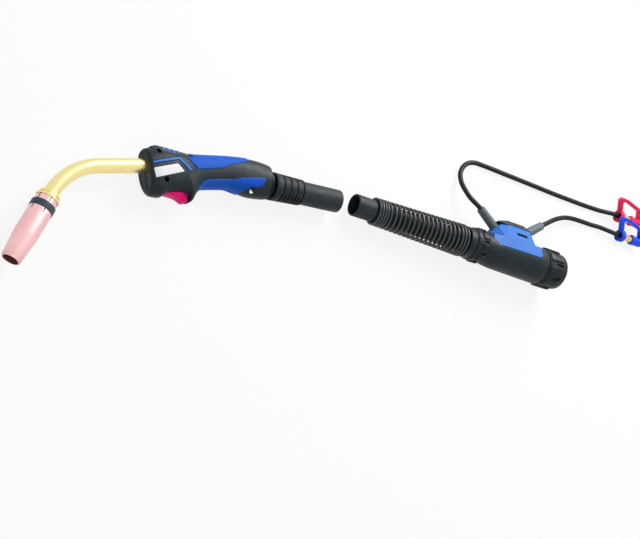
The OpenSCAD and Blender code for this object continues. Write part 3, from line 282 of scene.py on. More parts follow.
@dataclass
class Shape:
    """A closed mesh in millimetres of a local frame."""

    points: list[Spot] = field(default_factory=list)
    faces: list[tuple[int, ...]] = field(default_factory=list)

    @staticmethod
    def skin(rings: Sequence, closed: bool = False, caps: bool = True) -> Shape:
        """Joins closed rings of equal length into a body.

        Args:
            rings: the rings in order.
            closed: whether the last ring joins the first.
            caps: whether the two ends are closed.
        Returns:
            The body.
        """
        n = len(rings[0])
        points = [tuple(p) for ring in rings for p in ring]
        faces: list[tuple[int, ...]] = []
        for r in range(len(rings) if closed else len(rings) - 1):
            a, b = r * n, (r + 1) % len(rings) * n
            faces.extend((a + i, a + (i + 1) % n, b + (i + 1) % n, b + i) for i in range(n))
        if caps and not closed:
            faces.append(tuple(reversed(range(n))))
            faces.append(tuple((len(rings) - 1) * n + i for i in range(n)))
        return Shape(points, faces)

    @staticmethod
    def lathe(profile: Sequence[Flat], radii: float | Sequence[float] = 0, sides: int = 64,
              steps: int = 4) -> Shape:
        """Turns a closed profile of radii and places along X, with its corners rounded, about X."""
        line = rounded(profile, radii, steps)
        return Shape.skin([turned(line, a) for a in angles(sides)], closed=True)

    @staticmethod
    def rod(radius: float, low: float, high: float, sides: int = 40) -> Shape:
        """A round rod along X."""
        rim = [(radius * math.cos(a), radius * math.sin(a)) for a in angles(sides)]
        return Shape.skin([[(u, y, z) for y, z in rim] for u in (low, high)])

    @staticmethod
    def pin(radius: float, low: float, high: float, at: Flat) -> Shape:
        """A round rod along Z, at a point of the XY plane."""
        return Shape.rod(radius, low, high).swapped().moved(*at)

    @staticmethod
    def prism(outline: Sequence[Flat], low: float, high: float) -> Shape:
        """An outline of X and Y given thickness along Z."""
        return Shape.skin([[(x, y, z) for x, y in outline] for z in (low, high)])

    @staticmethod
    def block(low: Spot, high: Spot) -> Shape:
        """A straight block between two corners."""
        (x0, y0, z0), (x1, y1, z1) = low, high
        return Shape.prism([(x0, y0), (x1, y0), (x1, y1), (x0, y1)], z0, z1)

    @staticmethod
    def tube(path: list[Vector], radii: float | list[float], sides: int) -> Shape:
        """A round body swept along a path.

        Args:
            path: the points of its centre line.
            radii: its radius, or one for each point.
            sides: how many sides it has.
        Returns:
            The body, closed at both ends.
        """
        rings = []
        across = None
        for i, p in enumerate(path):
            r = radii[i] if isinstance(radii, list) else radii
            ahead = (path[min(i + 1, len(path) - 1)] - path[max(i - 1, 0)]).normalized()
            if across is None:
                across = UP.cross(ahead)
            across = (across - ahead * across.dot(ahead)).normalized()
            over = ahead.cross(across)
            rings.append([p + r * (across * math.cos(a) + over * math.sin(a)) for a in angles(sides)])
        return Shape.skin(rings)

    @staticmethod
    def hull(points: Sequence[Spot]) -> Shape:
        """The tightest body without hollows round some points and their mirror images in Z = 0.

        Args:
            points: the points, on the side where Z is positive.
        Returns:
            The body.
        """
        bm = bmesh.new()
        for x, y, z in points:
            bm.verts.new((x, y, z))
            bm.verts.new((x, y, -z))
        bmesh.ops.convex_hull(bm, input=bm.verts, use_existing_faces=False)
        loose = [v for v in bm.verts if not v.link_faces]
        bmesh.ops.delete(bm, geom=loose, context="VERTS")
        bmesh.ops.dissolve_limit(bm, angle_limit=0.02, verts=bm.verts, edges=bm.edges)
        return Shape._taken(bm)

    @staticmethod
    def _taken(bm: bmesh.types.BMesh) -> Shape:
        """Reads a shape out of a bmesh and frees it.

        Args:
            bm: the bmesh.
        Returns:
            The shape.
        """
        bm.verts.ensure_lookup_table()
        bm.verts.index_update()
        shape = Shape([tuple(v.co) for v in bm.verts], [tuple(v.index for v in f.verts) for f in bm.faces])
        bm.free()
        return shape

    def _bmesh(self, weld: float = 1e-4) -> bmesh.types.BMesh:
        """The shape as a bmesh with its faces outward.

        Args:
            weld: points that lie closer than this are joined.
        Returns:
            The bmesh.
        """
        mesh = bpy.data.meshes.new("work")
        mesh.from_pydata(self.points, [], self.faces)
        bm = bmesh.new()
        bm.from_mesh(mesh)
        bpy.data.meshes.remove(mesh)
        bmesh.ops.remove_doubles(bm, verts=bm.verts, dist=weld)
        bmesh.ops.recalc_face_normals(bm, faces=bm.faces)
        return bm

    def mapped(self, place: Place) -> Shape:
        """The shape in the frame that its own frame is given in."""
        return Shape([tuple(place.out(p)) for p in self.points], self.faces)

    def moved(self, x: float = 0, y: float = 0) -> Shape:
        """The shape shifted in the XY plane."""
        return Shape([(p[0] + x, p[1] + y, p[2]) for p in self.points], self.faces)

    def swapped(self) -> Shape:
        """The shape with what ran along X now running along Z."""
        return Shape([(p[1], p[2], p[0]) for p in self.points], self.faces)

    def raised(self) -> Shape:
        """The shape with what ran along X now running along Y."""
        return Shape([(p[2], p[0], p[1]) for p in self.points], self.faces)

    def mirrored(self) -> Shape:
        """The shape on the other side of Z = 0."""
        return Shape([(p[0], p[1], -p[2]) for p in self.points], [tuple(reversed(f)) for f in self.faces])

    def added(self, other: Shape) -> Shape:
        """This shape and another, side by side in one mesh."""
        n = len(self.points)
        return Shape(self.points + other.points, self.faces + [tuple(i + n for i in f) for f in other.faces])

    def bevelled(self, width: float, segments: int = 3, angle: float = 30) -> Shape:
        """The shape with its sharp edges rounded.

        Args:
            width: the size of the rounding.
            segments: how many strips it has.
            angle: the least bend, in degrees, of an edge that is rounded.
        Returns:
            The rounded shape.
        """
        bm = self._bmesh()
        least = math.radians(angle)
        sharp = [e for e in bm.edges if len(e.link_faces) == 2 and e.calc_face_angle(0) > least]
        bmesh.ops.bevel(bm, geom=sharp, offset=width, segments=segments, profile=0.5, affect="EDGES",
                        clamp_overlap=True)
        return Shape._taken(bm)

    def _worked(self, others: tuple[Shape, ...], join: Join) -> Shape:
        """This shape joined with others, one after the other.

        Args:
            others: the shapes to cut away or to merge.
            join: which of the two it is.
        Returns:
            The result.
        """
        objects = []
        for shape in (self, *others):
            bm = shape._bmesh()
            bmesh.ops.triangulate(bm, faces=[f for f in bm.faces if len(f.verts) > 4])
            mesh = bpy.data.meshes.new("work")
            bm.to_mesh(mesh)
            bm.free()
            objects.append(link("work", mesh))
        for other in objects[1:]:
            modifier = objects[0].modifiers.new("work", "BOOLEAN")
            modifier.operation = join.value
            modifier.solver = "MANIFOLD"
            modifier.object = other
        solved = objects[0].evaluated_get(bpy.context.evaluated_depsgraph_get())
        mesh = solved.to_mesh()
        made = Shape([tuple(v.co) for v in mesh.vertices], [tuple(p.vertices) for p in mesh.polygons])
        solved.to_mesh_clear()
        for thing in objects:
            data = thing.data
            bpy.data.objects.remove(thing)
            bpy.data.meshes.remove(data)
        if len(made.points) in (0, len(self.points)):
            LOG.warning("a %s changed nothing: %d points", join.name, len(made.points))
        return made

    def cut(self, *others: Shape) -> Shape:
        """This shape less the others."""
        return self._worked(others, Join.CUT)

    def merged(self, *others: Shape) -> Shape:
        """This shape and the others as one body."""
        return self._worked(others, Join.MERGE)


@dataclass(frozen=True)
class Spline:
    """A smooth curve through given points."""

    knots: list[Vector]

    def points(self, steps: int) -> list[Vector]:
        """Points of the curve.

        Args:
            steps: how many stretches lie between two knots.
        Returns:
            The points in order.
        """
        p, made = self.knots, []
        for i in range(len(p) - 1):
            a, b, c, d = p[max(i - 1, 0)], p[i], p[i + 1], p[min(i + 2, len(p) - 1)]
            for k in range(steps):
                t = k / steps
                made.append(0.5 * (2 * b + (c - a) * t + (2 * a - 5 * b + 4 * c - d) * t * t
                                   + (3 * b - a - 3 * c + d) * t * t * t))
        return made + [p[-1]]

    @staticmethod
    def even(path: list[Vector], step: float) -> list[Vector]:
        """A path walked in even steps.

        Args:
            path: its points.
            step: about how long a step is.
        Returns:
            The points between the steps.
        """
        marks = [0.0]
        for a, b in zip(path, path[1:]):
            marks.append(marks[-1] + (b - a).length)
        want = np.linspace(0, marks[-1], max(2, round(marks[-1] / step)) + 1)
        walked = [np.interp(want, marks, line) for line in np.array([tuple(p) for p in path]).T]
        return [Vector(row) for row in np.stack(walked, axis=1)]


@dataclass(frozen=True)
class SocketScrew:
    """A screw along X: its end, its head's underside and top, three roundings, and its six-sided socket.

    The socket is given by its radius, its floor and a height above the head.
    """

    end: float
    under: float
    top: float
    roundings: Spot
    socket: Spot
    shank: float = 1.5
    head: float = 2.8

    def shape(self) -> Shape:
        """The screw's mesh.

        Returns:
            The screw along X.
        """
        profile = ((0, self.end), (self.shank, self.end), (self.shank, self.under), (self.head, self.under),
                   (self.head, self.top), (0, self.top))
        tip, seat, crown = self.roundings
        return Shape.lathe(profile, (0, tip, 0, seat, crown, 0), 36, 3).cut(Shape.rod(*self.socket, 6))


# ---- finishes ----


class Wiring:
    """A node tree that is filled by short calls."""

    def __init__(self, tree: bpy.types.NodeTree) -> None:
        """Takes the tree to fill."""
        self.tree = tree

    @staticmethod
    def blank(owner: bpy.types.Material | bpy.types.World) -> Wiring:
        """The emptied node tree of a material or a world.

        Args:
            owner: what the tree belongs to.
        Returns:
            Its wiring.
        """
        owner.use_nodes = True
        owner.node_tree.nodes.clear()
        return Wiring(owner.node_tree)

    def feed(self, socket: Socket, value: object) -> None:
        """Links a socket to another, or sets it.

        Args:
            socket: the socket.
            value: the other socket, or a value.
        """
        if isinstance(value, Socket):
            self.tree.links.new(value, socket)
        elif isinstance(value, tuple) and socket.type == "RGBA":
            socket.default_value = (*value, 1)
        else:
            socket.default_value = value

    def node(self, kind: str, sets: dict | None = None, **inputs: object) -> bpy.types.Node:
        """Adds a node.

        Args:
            kind: its type, without the word ShaderNode.
            sets: its settings.
            inputs: a value or another node's socket for each input, with _ for a space.
        Returns:
            The node.
        """
        made = self.tree.nodes.new("ShaderNode" + kind)
        for key, value in (sets or {}).items():
            setattr(made, key, value)
        for key, value in inputs.items():
            name = key.replace("_", " ").strip()
            self.feed(made.inputs[int(name) if name.isdigit() else name], value)
        return made

    def math(self, how: str, a: object, b: object = 0.0, clamp: bool = False) -> Socket:
        """One step of arithmetic, and its result."""
        return self.node("Math", {"operation": how, "use_clamp": clamp}, _0=a, _1=b).outputs[0]

    def ramp(self, value: object, low: float, high: float, out_low: float = 0.0,
             out_high: float = 1.0) -> Socket:
        """A value carried smoothly from one range to another."""
        return self.node("MapRange", {"interpolation_type": "SMOOTHSTEP"}, Value=value, From_Min=low,
                         From_Max=high, To_Min=out_low, To_Max=out_high).outputs[0]

    def blend(self, share: object, a: object, b: object) -> Socket:
        """Two colours mixed by a share."""
        return self.node("Mix", {"data_type": "RGBA"}, Factor=share, _6=a, _7=b).outputs[2]

    def spot(self) -> Socket:
        """Where a point lies in its piece."""
        return self.node("TexCoord").outputs["Object"]

    def noise(self, scale: object, detail: float) -> Socket:
        """Soft noise through the piece."""
        return self.node("TexNoise", Vector=self.spot(), Scale=scale, Detail=detail).outputs["Fac"]


class Effects:
    """The shader node groups that the finishes share, each built once."""

    def __init__(self) -> None:
        """Builds the groups."""
        self.groups: dict[str, bpy.types.NodeTree] = {}
        for build in (self._tone, self._grain, self._wear_and_highlight, self._dust, self._turning, self._heat_tint_and_bore_shade):
            build()

    def add(self, name: str, w: Wiring, **inputs: object) -> bpy.types.bpy_prop_collection:
        """Places a group in a material, and gives its outputs."""
        return w.node("Group", {"node_tree": self.groups[name]}, **inputs).outputs

    def _start(self, name: str, takes: dict[str, str], gives: dict[str, str]) -> tuple:
        """Starts a group.

        Args:
            name: its name.
            takes: the kind of each input.
            gives: the kind of each output.
        Returns:
            Its wiring, its inputs and its outputs.
        """
        tree = self.groups[name] = bpy.data.node_groups.new(name, "ShaderNodeTree")
        for way, sockets in (("INPUT", takes), ("OUTPUT", gives)):
            for key, kind in sockets.items():
                tree.interface.new_socket(key, in_out=way, socket_type="NodeSocket" + kind)
        given, out = tree.nodes.new("NodeGroupInput"), tree.nodes.new("NodeGroupOutput")
        return Wiring(tree), given.outputs, out.inputs

    def _tone(self) -> None:
        """Makes slow and quick changes between a base colour and a shade."""
        w, given, out = self._start(
            "tone", {"Base": "Color", "Shade": "Color", "Scale": "Float", "Amount": "Float"},
            {"Color": "Color", "Value": "Float"})
        slow = w.math("MULTIPLY", w.noise(given["Scale"], 3.0), 0.7)
        quick = w.math("MULTIPLY", w.noise(w.math("MULTIPLY", given["Scale"], 9.0), 2.0), 0.3)
        spread = w.ramp(w.math("ADD", slow, quick), 0.35, 0.65)
        share = w.math("MULTIPLY", spread, given["Amount"])
        w.feed(out["Color"], w.blend(share, given["Base"], given["Shade"]))
        w.feed(out["Value"], spread)

    def _grain(self) -> None:
        """Makes the small bumps of a moulded or cast surface."""
        w, given, out = self._start("grain", {"Scale": "Float"}, {"Height": "Float"})
        cells = w.node("TexVoronoi", {"feature": "SMOOTH_F1"}, Vector=w.spot(), Scale=given["Scale"])
        fine = w.noise(w.math("MULTIPLY", given["Scale"], 0.6), 4.0)
        w.feed(out["Height"], w.math("ADD", w.math("MULTIPLY", cells.outputs["Distance"], 0.5), fine))

    def _wear_and_highlight(self) -> None:
        """Finds the edges that are drawn lighter: partly rubbed wear, partly painted highlights along edges.
        """
        w, given, out = self._start("edge_wear_and_highlight", {"Amount": "Float"}, {"Mask": "Float"})
        edge = w.ramp(w.node("NewGeometry").outputs["Pointiness"], 0.52, 0.62)
        mask = w.math("MULTIPLY", edge, w.ramp(w.noise(420.0, 4.0), 0.38, 0.6))
        w.feed(out["Mask"], w.math("MULTIPLY", mask, given["Amount"], True))

    def _dust(self) -> None:
        """Finds where dust settles on what faces up."""
        w, given, out = self._start("dust", {"Amount": "Float"}, {"Mask": "Float"})
        apart = w.node("SeparateXYZ", Vector=w.node("NewGeometry").outputs["Normal"])
        upward = w.ramp(apart.outputs["Z"], 0.2, 1.0)
        mask = w.math("MULTIPLY", upward, w.ramp(w.noise(160.0, 5.0), 0.3, 0.75))
        w.feed(out["Mask"], w.math("MULTIPLY", mask, given["Amount"], True))

    @staticmethod
    def _axis(w: Wiring, given: bpy.types.bpy_prop_collection) -> tuple[Socket, Socket]:
        """How far along and how far from an axis a point lies, in metres.

        Args:
            w: the group's wiring.
            given: its inputs, with the axis.
        Returns:
            The two lengths.
        """
        def step(how: str, a: Socket, **more: Socket) -> bpy.types.bpy_prop_collection:
            """One step of vector arithmetic, and its results."""
            return w.node("VectorMath", {"operation": how}, _0=a, **more).outputs

        rel = step("SUBTRACT", w.spot(), _1=given["Origin"])[0]
        along = step("DOT_PRODUCT", rel, _1=given["Axis"])["Value"]
        on_axis = step("SCALE", given["Axis"], Scale=along)[0]
        return along, step("DISTANCE", rel, _1=on_axis)["Value"]

    def _turning(self) -> None:
        """Makes the fine rings that a lathe leaves round an axis."""
        w, given, out = self._start("turning", {"Origin": "Vector", "Axis": "Vector"}, {"Height": "Float"})
        rings = w.node("TexNoise", {"noise_dimensions": "1D"}, W=w.math("ADD", *self._axis(w, given)),
                       Scale=3200.0, Detail=2.0)
        w.feed(out["Height"], rings.outputs["Fac"])

    def _heat_tint_and_bore_shade(self) -> None:
        """Finds where heat and spatter have browned a nozzle at its mouth, and where shade is painted inside
        its bore and on its slot walls.
        """
        w, given, out = self._start(
            "heat_tint_and_bore_shade", {"Origin": "Vector", "Axis": "Vector", "Mouth": "Float", "Bore": "Float"},
            {"Inside": "Float", "Mouth": "Float"})
        along, off = self._axis(w, given)
        deep = w.math("SUBTRACT", w.math("SUBTRACT", given["Mouth"], 0.012), along)
        wider = w.math("MINIMUM", w.math("MAXIMUM", w.math("MULTIPLY", deep, 0.15), 0.0), 0.0017)
        slots = w.ramp(deep, 0.0425, 0.0435, 0.0, 0.0013)
        limit = w.math("ADD", w.math("ADD", given["Bore"], wider), slots)
        near = w.math("ADD", w.math("SUBTRACT", along, given["Mouth"]),
                      w.math("MULTIPLY", w.noise(180.0, 4.0), 0.006))
        w.feed(out["Inside"], w.ramp(w.math("SUBTRACT", limit, off), -0.0001, 0.0004))
        w.feed(out["Mouth"], w.ramp(near, -0.012, 0.006))


@dataclass(frozen=True)
class Finish:
    """A finish: its colours, its gloss and the marks on it. Lengths in it are in metres."""

    name: str
    colour: Colour
    shade: Colour
    rough: float = 0.5
    spread: float = 0.08
    metal: float = 0.0
    specular: float = 0.35
    tone_scale: float = 45.0
    tone: float = 0.5
    grain_scale: float = 1600.0
    grain: float = 0.12
    wear_and_highlight: float = 0.0
    wear_and_highlight_colour: Colour = (0.2, 0.21, 0.22)
    dust: float = 0.0
    dust_colour: Colour = (0.3, 0.29, 0.27)
    rim_brown: Colour = (0.50, 0.27, 0.20)
    # painted shade: the dark brown inside a nozzle's bore and on its slot walls
    bore_shade_colour: Colour = (0.17, 0.065, 0.05)
    bore: float = 0.0086

    def build(self, effects: Effects, axis: Place | None = None, mouth: float = 0.0) -> bpy.types.Material:
        """Makes the material.

        Args:
            effects: the shared node groups.
            axis: the frame of the axis that the piece was turned about, if it was turned.
            mouth: how far along that axis the piece is browned at its mouth and painted with shade inside, in
                metres, or 0 for not at all.
        Returns:
            The material.
        """
        material = bpy.data.materials.new(self.name)
        w = Wiring.blank(material)
        tone = effects.add("tone", w, Base=self.colour, Shade=self.shade, Scale=self.tone_scale,
                           Amount=self.tone)
        colour = tone["Color"]
        rough = w.ramp(tone["Value"], 0.0, 1.0, self.rough - self.spread, self.rough + self.spread)
        height = effects.add("grain", w, Scale=self.grain_scale)["Height"]
        if axis is not None:
            line = {"Origin": tuple(axis.origin * MM), "Axis": tuple(axis.x)}
            rings = effects.add("turning", w, **line)["Height"]
            height = w.math("ADD", height, rings)
            rough = w.math("ADD", rough, w.ramp(rings, 0.3, 0.7, -0.04, 0.04))
            if mouth:
                heat_tint_and_bore_shade = effects.add("heat_tint_and_bore_shade", w, **line, Mouth=mouth, Bore=self.bore)
                colour = w.blend(w.math("MULTIPLY", heat_tint_and_bore_shade["Mouth"], 0.3), colour, self.rim_brown)
                # painted shade: the bore and the slot walls darkened to dark brown
                colour = w.blend(heat_tint_and_bore_shade["Inside"], colour, self.bore_shade_colour)
                rough = w.math("ADD", rough, w.math("MULTIPLY", heat_tint_and_bore_shade["Inside"], 0.3))
        # lighter edges: partly rubbed wear, partly painted edge highlight; dust settles on what faces up
        for name, amount, over, gloss in (("edge_wear_and_highlight", self.wear_and_highlight, self.wear_and_highlight_colour, -0.12),
                                          ("dust", self.dust, self.dust_colour, 0.2)):
            if amount:
                mask = effects.add(name, w, Amount=amount)["Mask"]
                colour = w.blend(mask, colour, over)
                rough = w.math("ADD", rough, w.math("MULTIPLY", mask, gloss), True)
        bump = w.node("Bump", Strength=self.grain, Distance=0.0002, Height=height)
        shader = w.node("BsdfPrincipled", Base_Color=colour, Roughness=rough, Metallic=self.metal,
                        Specular_IOR_Level=self.specular, Normal=bump.outputs["Normal"])
        w.node("OutputMaterial", Surface=shader.outputs[0])
        return material


class Finishes:
    """Every finish on the torch, each built when it is first used."""

    PALE_COPPER = Finish("pale copper", (0.88, 0.55, 0.56), (0.80, 0.44, 0.45), 0.34, 0.06, 1.0, 0.5,
                         tone_scale=30, grain_scale=2600, grain=0.05, wear_and_highlight=0.3,
                         wear_and_highlight_colour=(0.95, 0.72, 0.70))
    TIP_COPPER = Finish("tip copper", (0.78, 0.47, 0.36), (0.55, 0.28, 0.19), 0.35, 0.08, 1.0, 0.5)
    BAND = Finish("dark spring band", (0.028, 0.052, 0.068), (0.045, 0.072, 0.09), 0.4, 0.08, 0.2, 0.3,
                  wear_and_highlight=0.6, wear_and_highlight_colour=(0.28, 0.31, 0.33))
    PALE_BRASS = Finish("pale brass", (0.87, 0.75, 0.35), (0.79, 0.64, 0.26), 0.3, 0.05, 1.0, 0.5,
                        tone_scale=20, grain=0.02, wear_and_highlight=0.25, wear_and_highlight_colour=(0.95, 0.86, 0.6))
    BRASS = Finish("brass", (0.80, 0.60, 0.26), (0.62, 0.42, 0.16), 0.27, 0.07, 1.0, 0.5, grain=0.08)
    CERAMIC = Finish("ceramic", (0.80, 0.78, 0.70), (0.66, 0.60, 0.48), 0.6, 0.08)
    STEEL = Finish("bright steel", (0.62, 0.63, 0.65), (0.48, 0.49, 0.51), 0.25, 0.06, 1.0, 0.5, grain=0.06)
    BURNISHED = Finish("burnished steel", (0.02, 0.021, 0.024), (0.035, 0.036, 0.04), 0.35, specular=0.3,
                       grain=0.06)
    LINER = Finish("liner steel", (0.5, 0.5, 0.5), (0.32, 0.32, 0.33), 0.4, 0.08, 1.0, 0.5)
    INNER = Finish("inner plastic", (0.03, 0.034, 0.038), (0.05, 0.055, 0.06), 0.55, specular=0.15)
    # painted shade: near-black for the floors of the saddle's slots
    RECESS_SHADE = Finish("painted recess shade", (0.004, 0.004, 0.005), (0.006, 0.006, 0.007), 0.7, specular=0.1)
    LEADS = Finish("lead jacket", (0.03, 0.03, 0.032), (0.05, 0.05, 0.052), 0.6, specular=0.2, grain=0.2)
    CORE = Finish("core jacket", (0.05, 0.008, 0.008), (0.03, 0.006, 0.006), 0.6, specular=0.1, grain=0.2)
    # the lighter edge colour of the shell is a painted highlight along its edges
    SHELL = Finish("charcoal shell", (0.008, 0.017, 0.022), (0.014, 0.025, 0.031), 0.42, 0.07, specular=0.18,
                   tone_scale=28, grain_scale=2400, grain=0.16, wear_and_highlight=0.3, wear_and_highlight_colour=(0.06, 0.075, 0.085),
                   dust=0.03)
    GRIP = Finish("blue grip", (0.004, 0.078, 0.50), (0.010, 0.122, 0.60), 0.5, 0.06, specular=0.12,
                  tone_scale=24, grain_scale=2000, grain=0.2, wear_and_highlight=0.35, wear_and_highlight_colour=(0.06, 0.24, 0.9),
                  dust=0.03, dust_colour=(0.2, 0.3, 0.65))
    ACCENT = Finish("light blue accent", (0.016, 0.132, 0.50), (0.026, 0.158, 0.54), 0.42, 0.05,
                    specular=0.18, tone_scale=26, grain=0.06, wear_and_highlight=0.12, wear_and_highlight_colour=(0.2, 0.42, 0.85))
    PLATE = Finish("blank plate", (0.80, 0.81, 0.83), (0.74, 0.76, 0.78), 0.4, 0.06, specular=0.3, grain=0.06,
                   wear_and_highlight=0.2, wear_and_highlight_colour=(0.6, 0.62, 0.65))
    # painted shade: near-black for the groove round each stripe
    GROOVE_SHADE = Finish("stripe bed", (0.004, 0.005, 0.006), (0.006, 0.007, 0.008), 0.6, specular=0.1)
    MAGENTA = Finish("magenta trigger", (0.92, 0.003, 0.20), (0.84, 0.003, 0.16), 0.34, 0.05, specular=0.08,
                     tone_scale=30, grain=0.03, wear_and_highlight=0.12, wear_and_highlight_colour=(0.97, 0.12, 0.36))
    PLUNGER = Finish("red plunger", (0.5, 0.04, 0.03), (0.4, 0.03, 0.025), 0.35)
    # the strong, lighter edge colour of the black mouldings is a painted highlight along their edges
    JOINT = Finish("black moulding", (0.004, 0.009, 0.012), (0.008, 0.015, 0.019), 0.36, 0.07, specular=0.2,
                   grain_scale=2600, grain=0.1, wear_and_highlight=0.8, wear_and_highlight_colour=(0.085, 0.10, 0.11), dust=0.03)
    BOOT = Finish("boot rubber", (0.006, 0.012, 0.016), (0.011, 0.019, 0.024), 0.5, 0.06, specular=0.18,
                  grain_scale=2200, grain=0.15, dust=0.05)
    HOSE = Finish("hose rubber", (0.009, 0.018, 0.023), (0.016, 0.027, 0.034), 0.46, 0.08, specular=0.2,
                  tone_scale=35, grain_scale=1800, grain=0.18, dust=0.05)
    SPRING = Finish("coated spring wire", (0.013, 0.022, 0.027), (0.024, 0.036, 0.043), 0.32, 0.04,
                    specular=0.5, grain=0.01)
    GLAND = Finish("grey gland", (0.105, 0.135, 0.152), (0.14, 0.17, 0.19), 0.5, 0.06, specular=0.2,
                   grain=0.12, dust=0.04)
    SEAL = Finish("seal rubber", (0.01, 0.01, 0.011), (0.015, 0.015, 0.016), 0.5, specular=0.15)
    COOLANT = Finish("coolant hose", (0.004, 0.009, 0.012), (0.009, 0.016, 0.021), 0.45, 0.07, specular=0.2,
                     grain=0.04, dust=0.03)
    RED = Finish("red clip", (0.87, 0.014, 0.09), (0.93, 0.035, 0.15), 0.42, 0.05, specular=0.2,
                 grain=0.05, wear_and_highlight=0.1, wear_and_highlight_colour=(0.98, 0.35, 0.42))
    BLUE = Finish("blue clip", (0.015, 0.075, 0.86), (0.035, 0.115, 0.93), 0.42, 0.05, specular=0.2,
                  grain=0.05, wear_and_highlight=0.1, wear_and_highlight_colour=(0.3, 0.4, 0.98))

    def __init__(self) -> None:
        """Builds the shared node groups."""
        self.effects = Effects()
        self.made: dict[tuple, bpy.types.Material] = {}

    def get(self, finish: Finish, axis: Place | None = None, mouth: float = 0.0) -> bpy.types.Material:
        """The material of a finish, made once for each axis.

        Args:
            finish: the finish.
            axis: the frame of the axis that the piece was turned about, if it was turned.
            mouth: how far along that axis the piece is browned at its mouth and painted with shade inside, in
                metres.
        Returns:
            The material.
        """
        key = (finish.name, (*axis.origin, *axis.x) if axis else None, mouth)
        if key not in self.made:
            self.made[key] = finish.build(self.effects, axis, mouth)
        return self.made[key]


# ---- the workshop ----


@dataclass
class Workshop:
    """Places finished pieces on the CAD bodies."""

    frame: dict
    layout: Layout
    finishes: Finishes
    count: int = 0

    def place(self, name: str, shape: Shape, finish: Finish, slot: str, *replaces: str, at: Place = PLAIN,
              body: str = "root", turned: bool = False, mouth: float = 0.0, sharp: float = 32
              ) -> bpy.types.Object:
        """Makes a piece of a shape.

        Args:
            name: the piece's name.
            shape: its mesh in millimetres of a local frame.
            finish: its finish.
            slot: the record's material slot, which is not used.
            replaces: the CAD nodes that it stands for.
            at: the local frame.
            body: the CAD body that it moves with.
            turned: whether it was turned on a lathe, about its frame's X.
            mouth: how far along that axis heat has browned it at its mouth and shade is painted inside it, in
                metres.
            sharp: the bend, in degrees, from which an edge is drawn sharp.
        Returns:
            The object.
        """
        bm = shape.mapped(at)._bmesh(WELD)
        bmesh.ops.scale(bm, vec=(MM, MM, MM), verts=bm.verts)
        mesh = bpy.data.meshes.new(name)
        bm.to_mesh(mesh)
        bm.free()
        mesh.shade_smooth()
        mesh.set_sharp_from_angle(angle=math.radians(sharp))
        mesh.materials.append(self.finishes.get(finish, at if turned else None, mouth))
        thing = link(name, mesh)
        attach(thing, body)
        if replaces:
            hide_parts(*replaces)
        self.count += 1
        LOG.info("%s: %d faces on %s", name, len(mesh.polygons), body)
        return thing

    def lay(self, at: Place, *rows: tuple) -> None:
        """Places pieces that share a frame.

        Args:
            at: the frame.
            rows: each piece's name, shape, finish, slot, CAD node or "", body and sharp bend.
        """
        for name, shape, finish, slot, node, body, sharp in rows:
            self.place(name, shape, finish, slot, *filter(None, [node]), at=at, body=body, sharp=sharp)

    def dress(self, axis: Place | None = None, **finishes: Finish) -> None:
        """Gives CAD nodes that stay their finishes.

        Args:
            axis: the frame of the axis that they were turned about, if they were turned.
            finishes: each node's finish.
        """
        for node, finish in finishes.items():
            mesh = self.frame["nodes"][node].data
            mesh.materials.clear()
            mesh.materials.append(self.finishes.get(finish, axis))
            LOG.info("%s: dressed as %s", node, finish.name)


# ---- torch end ----


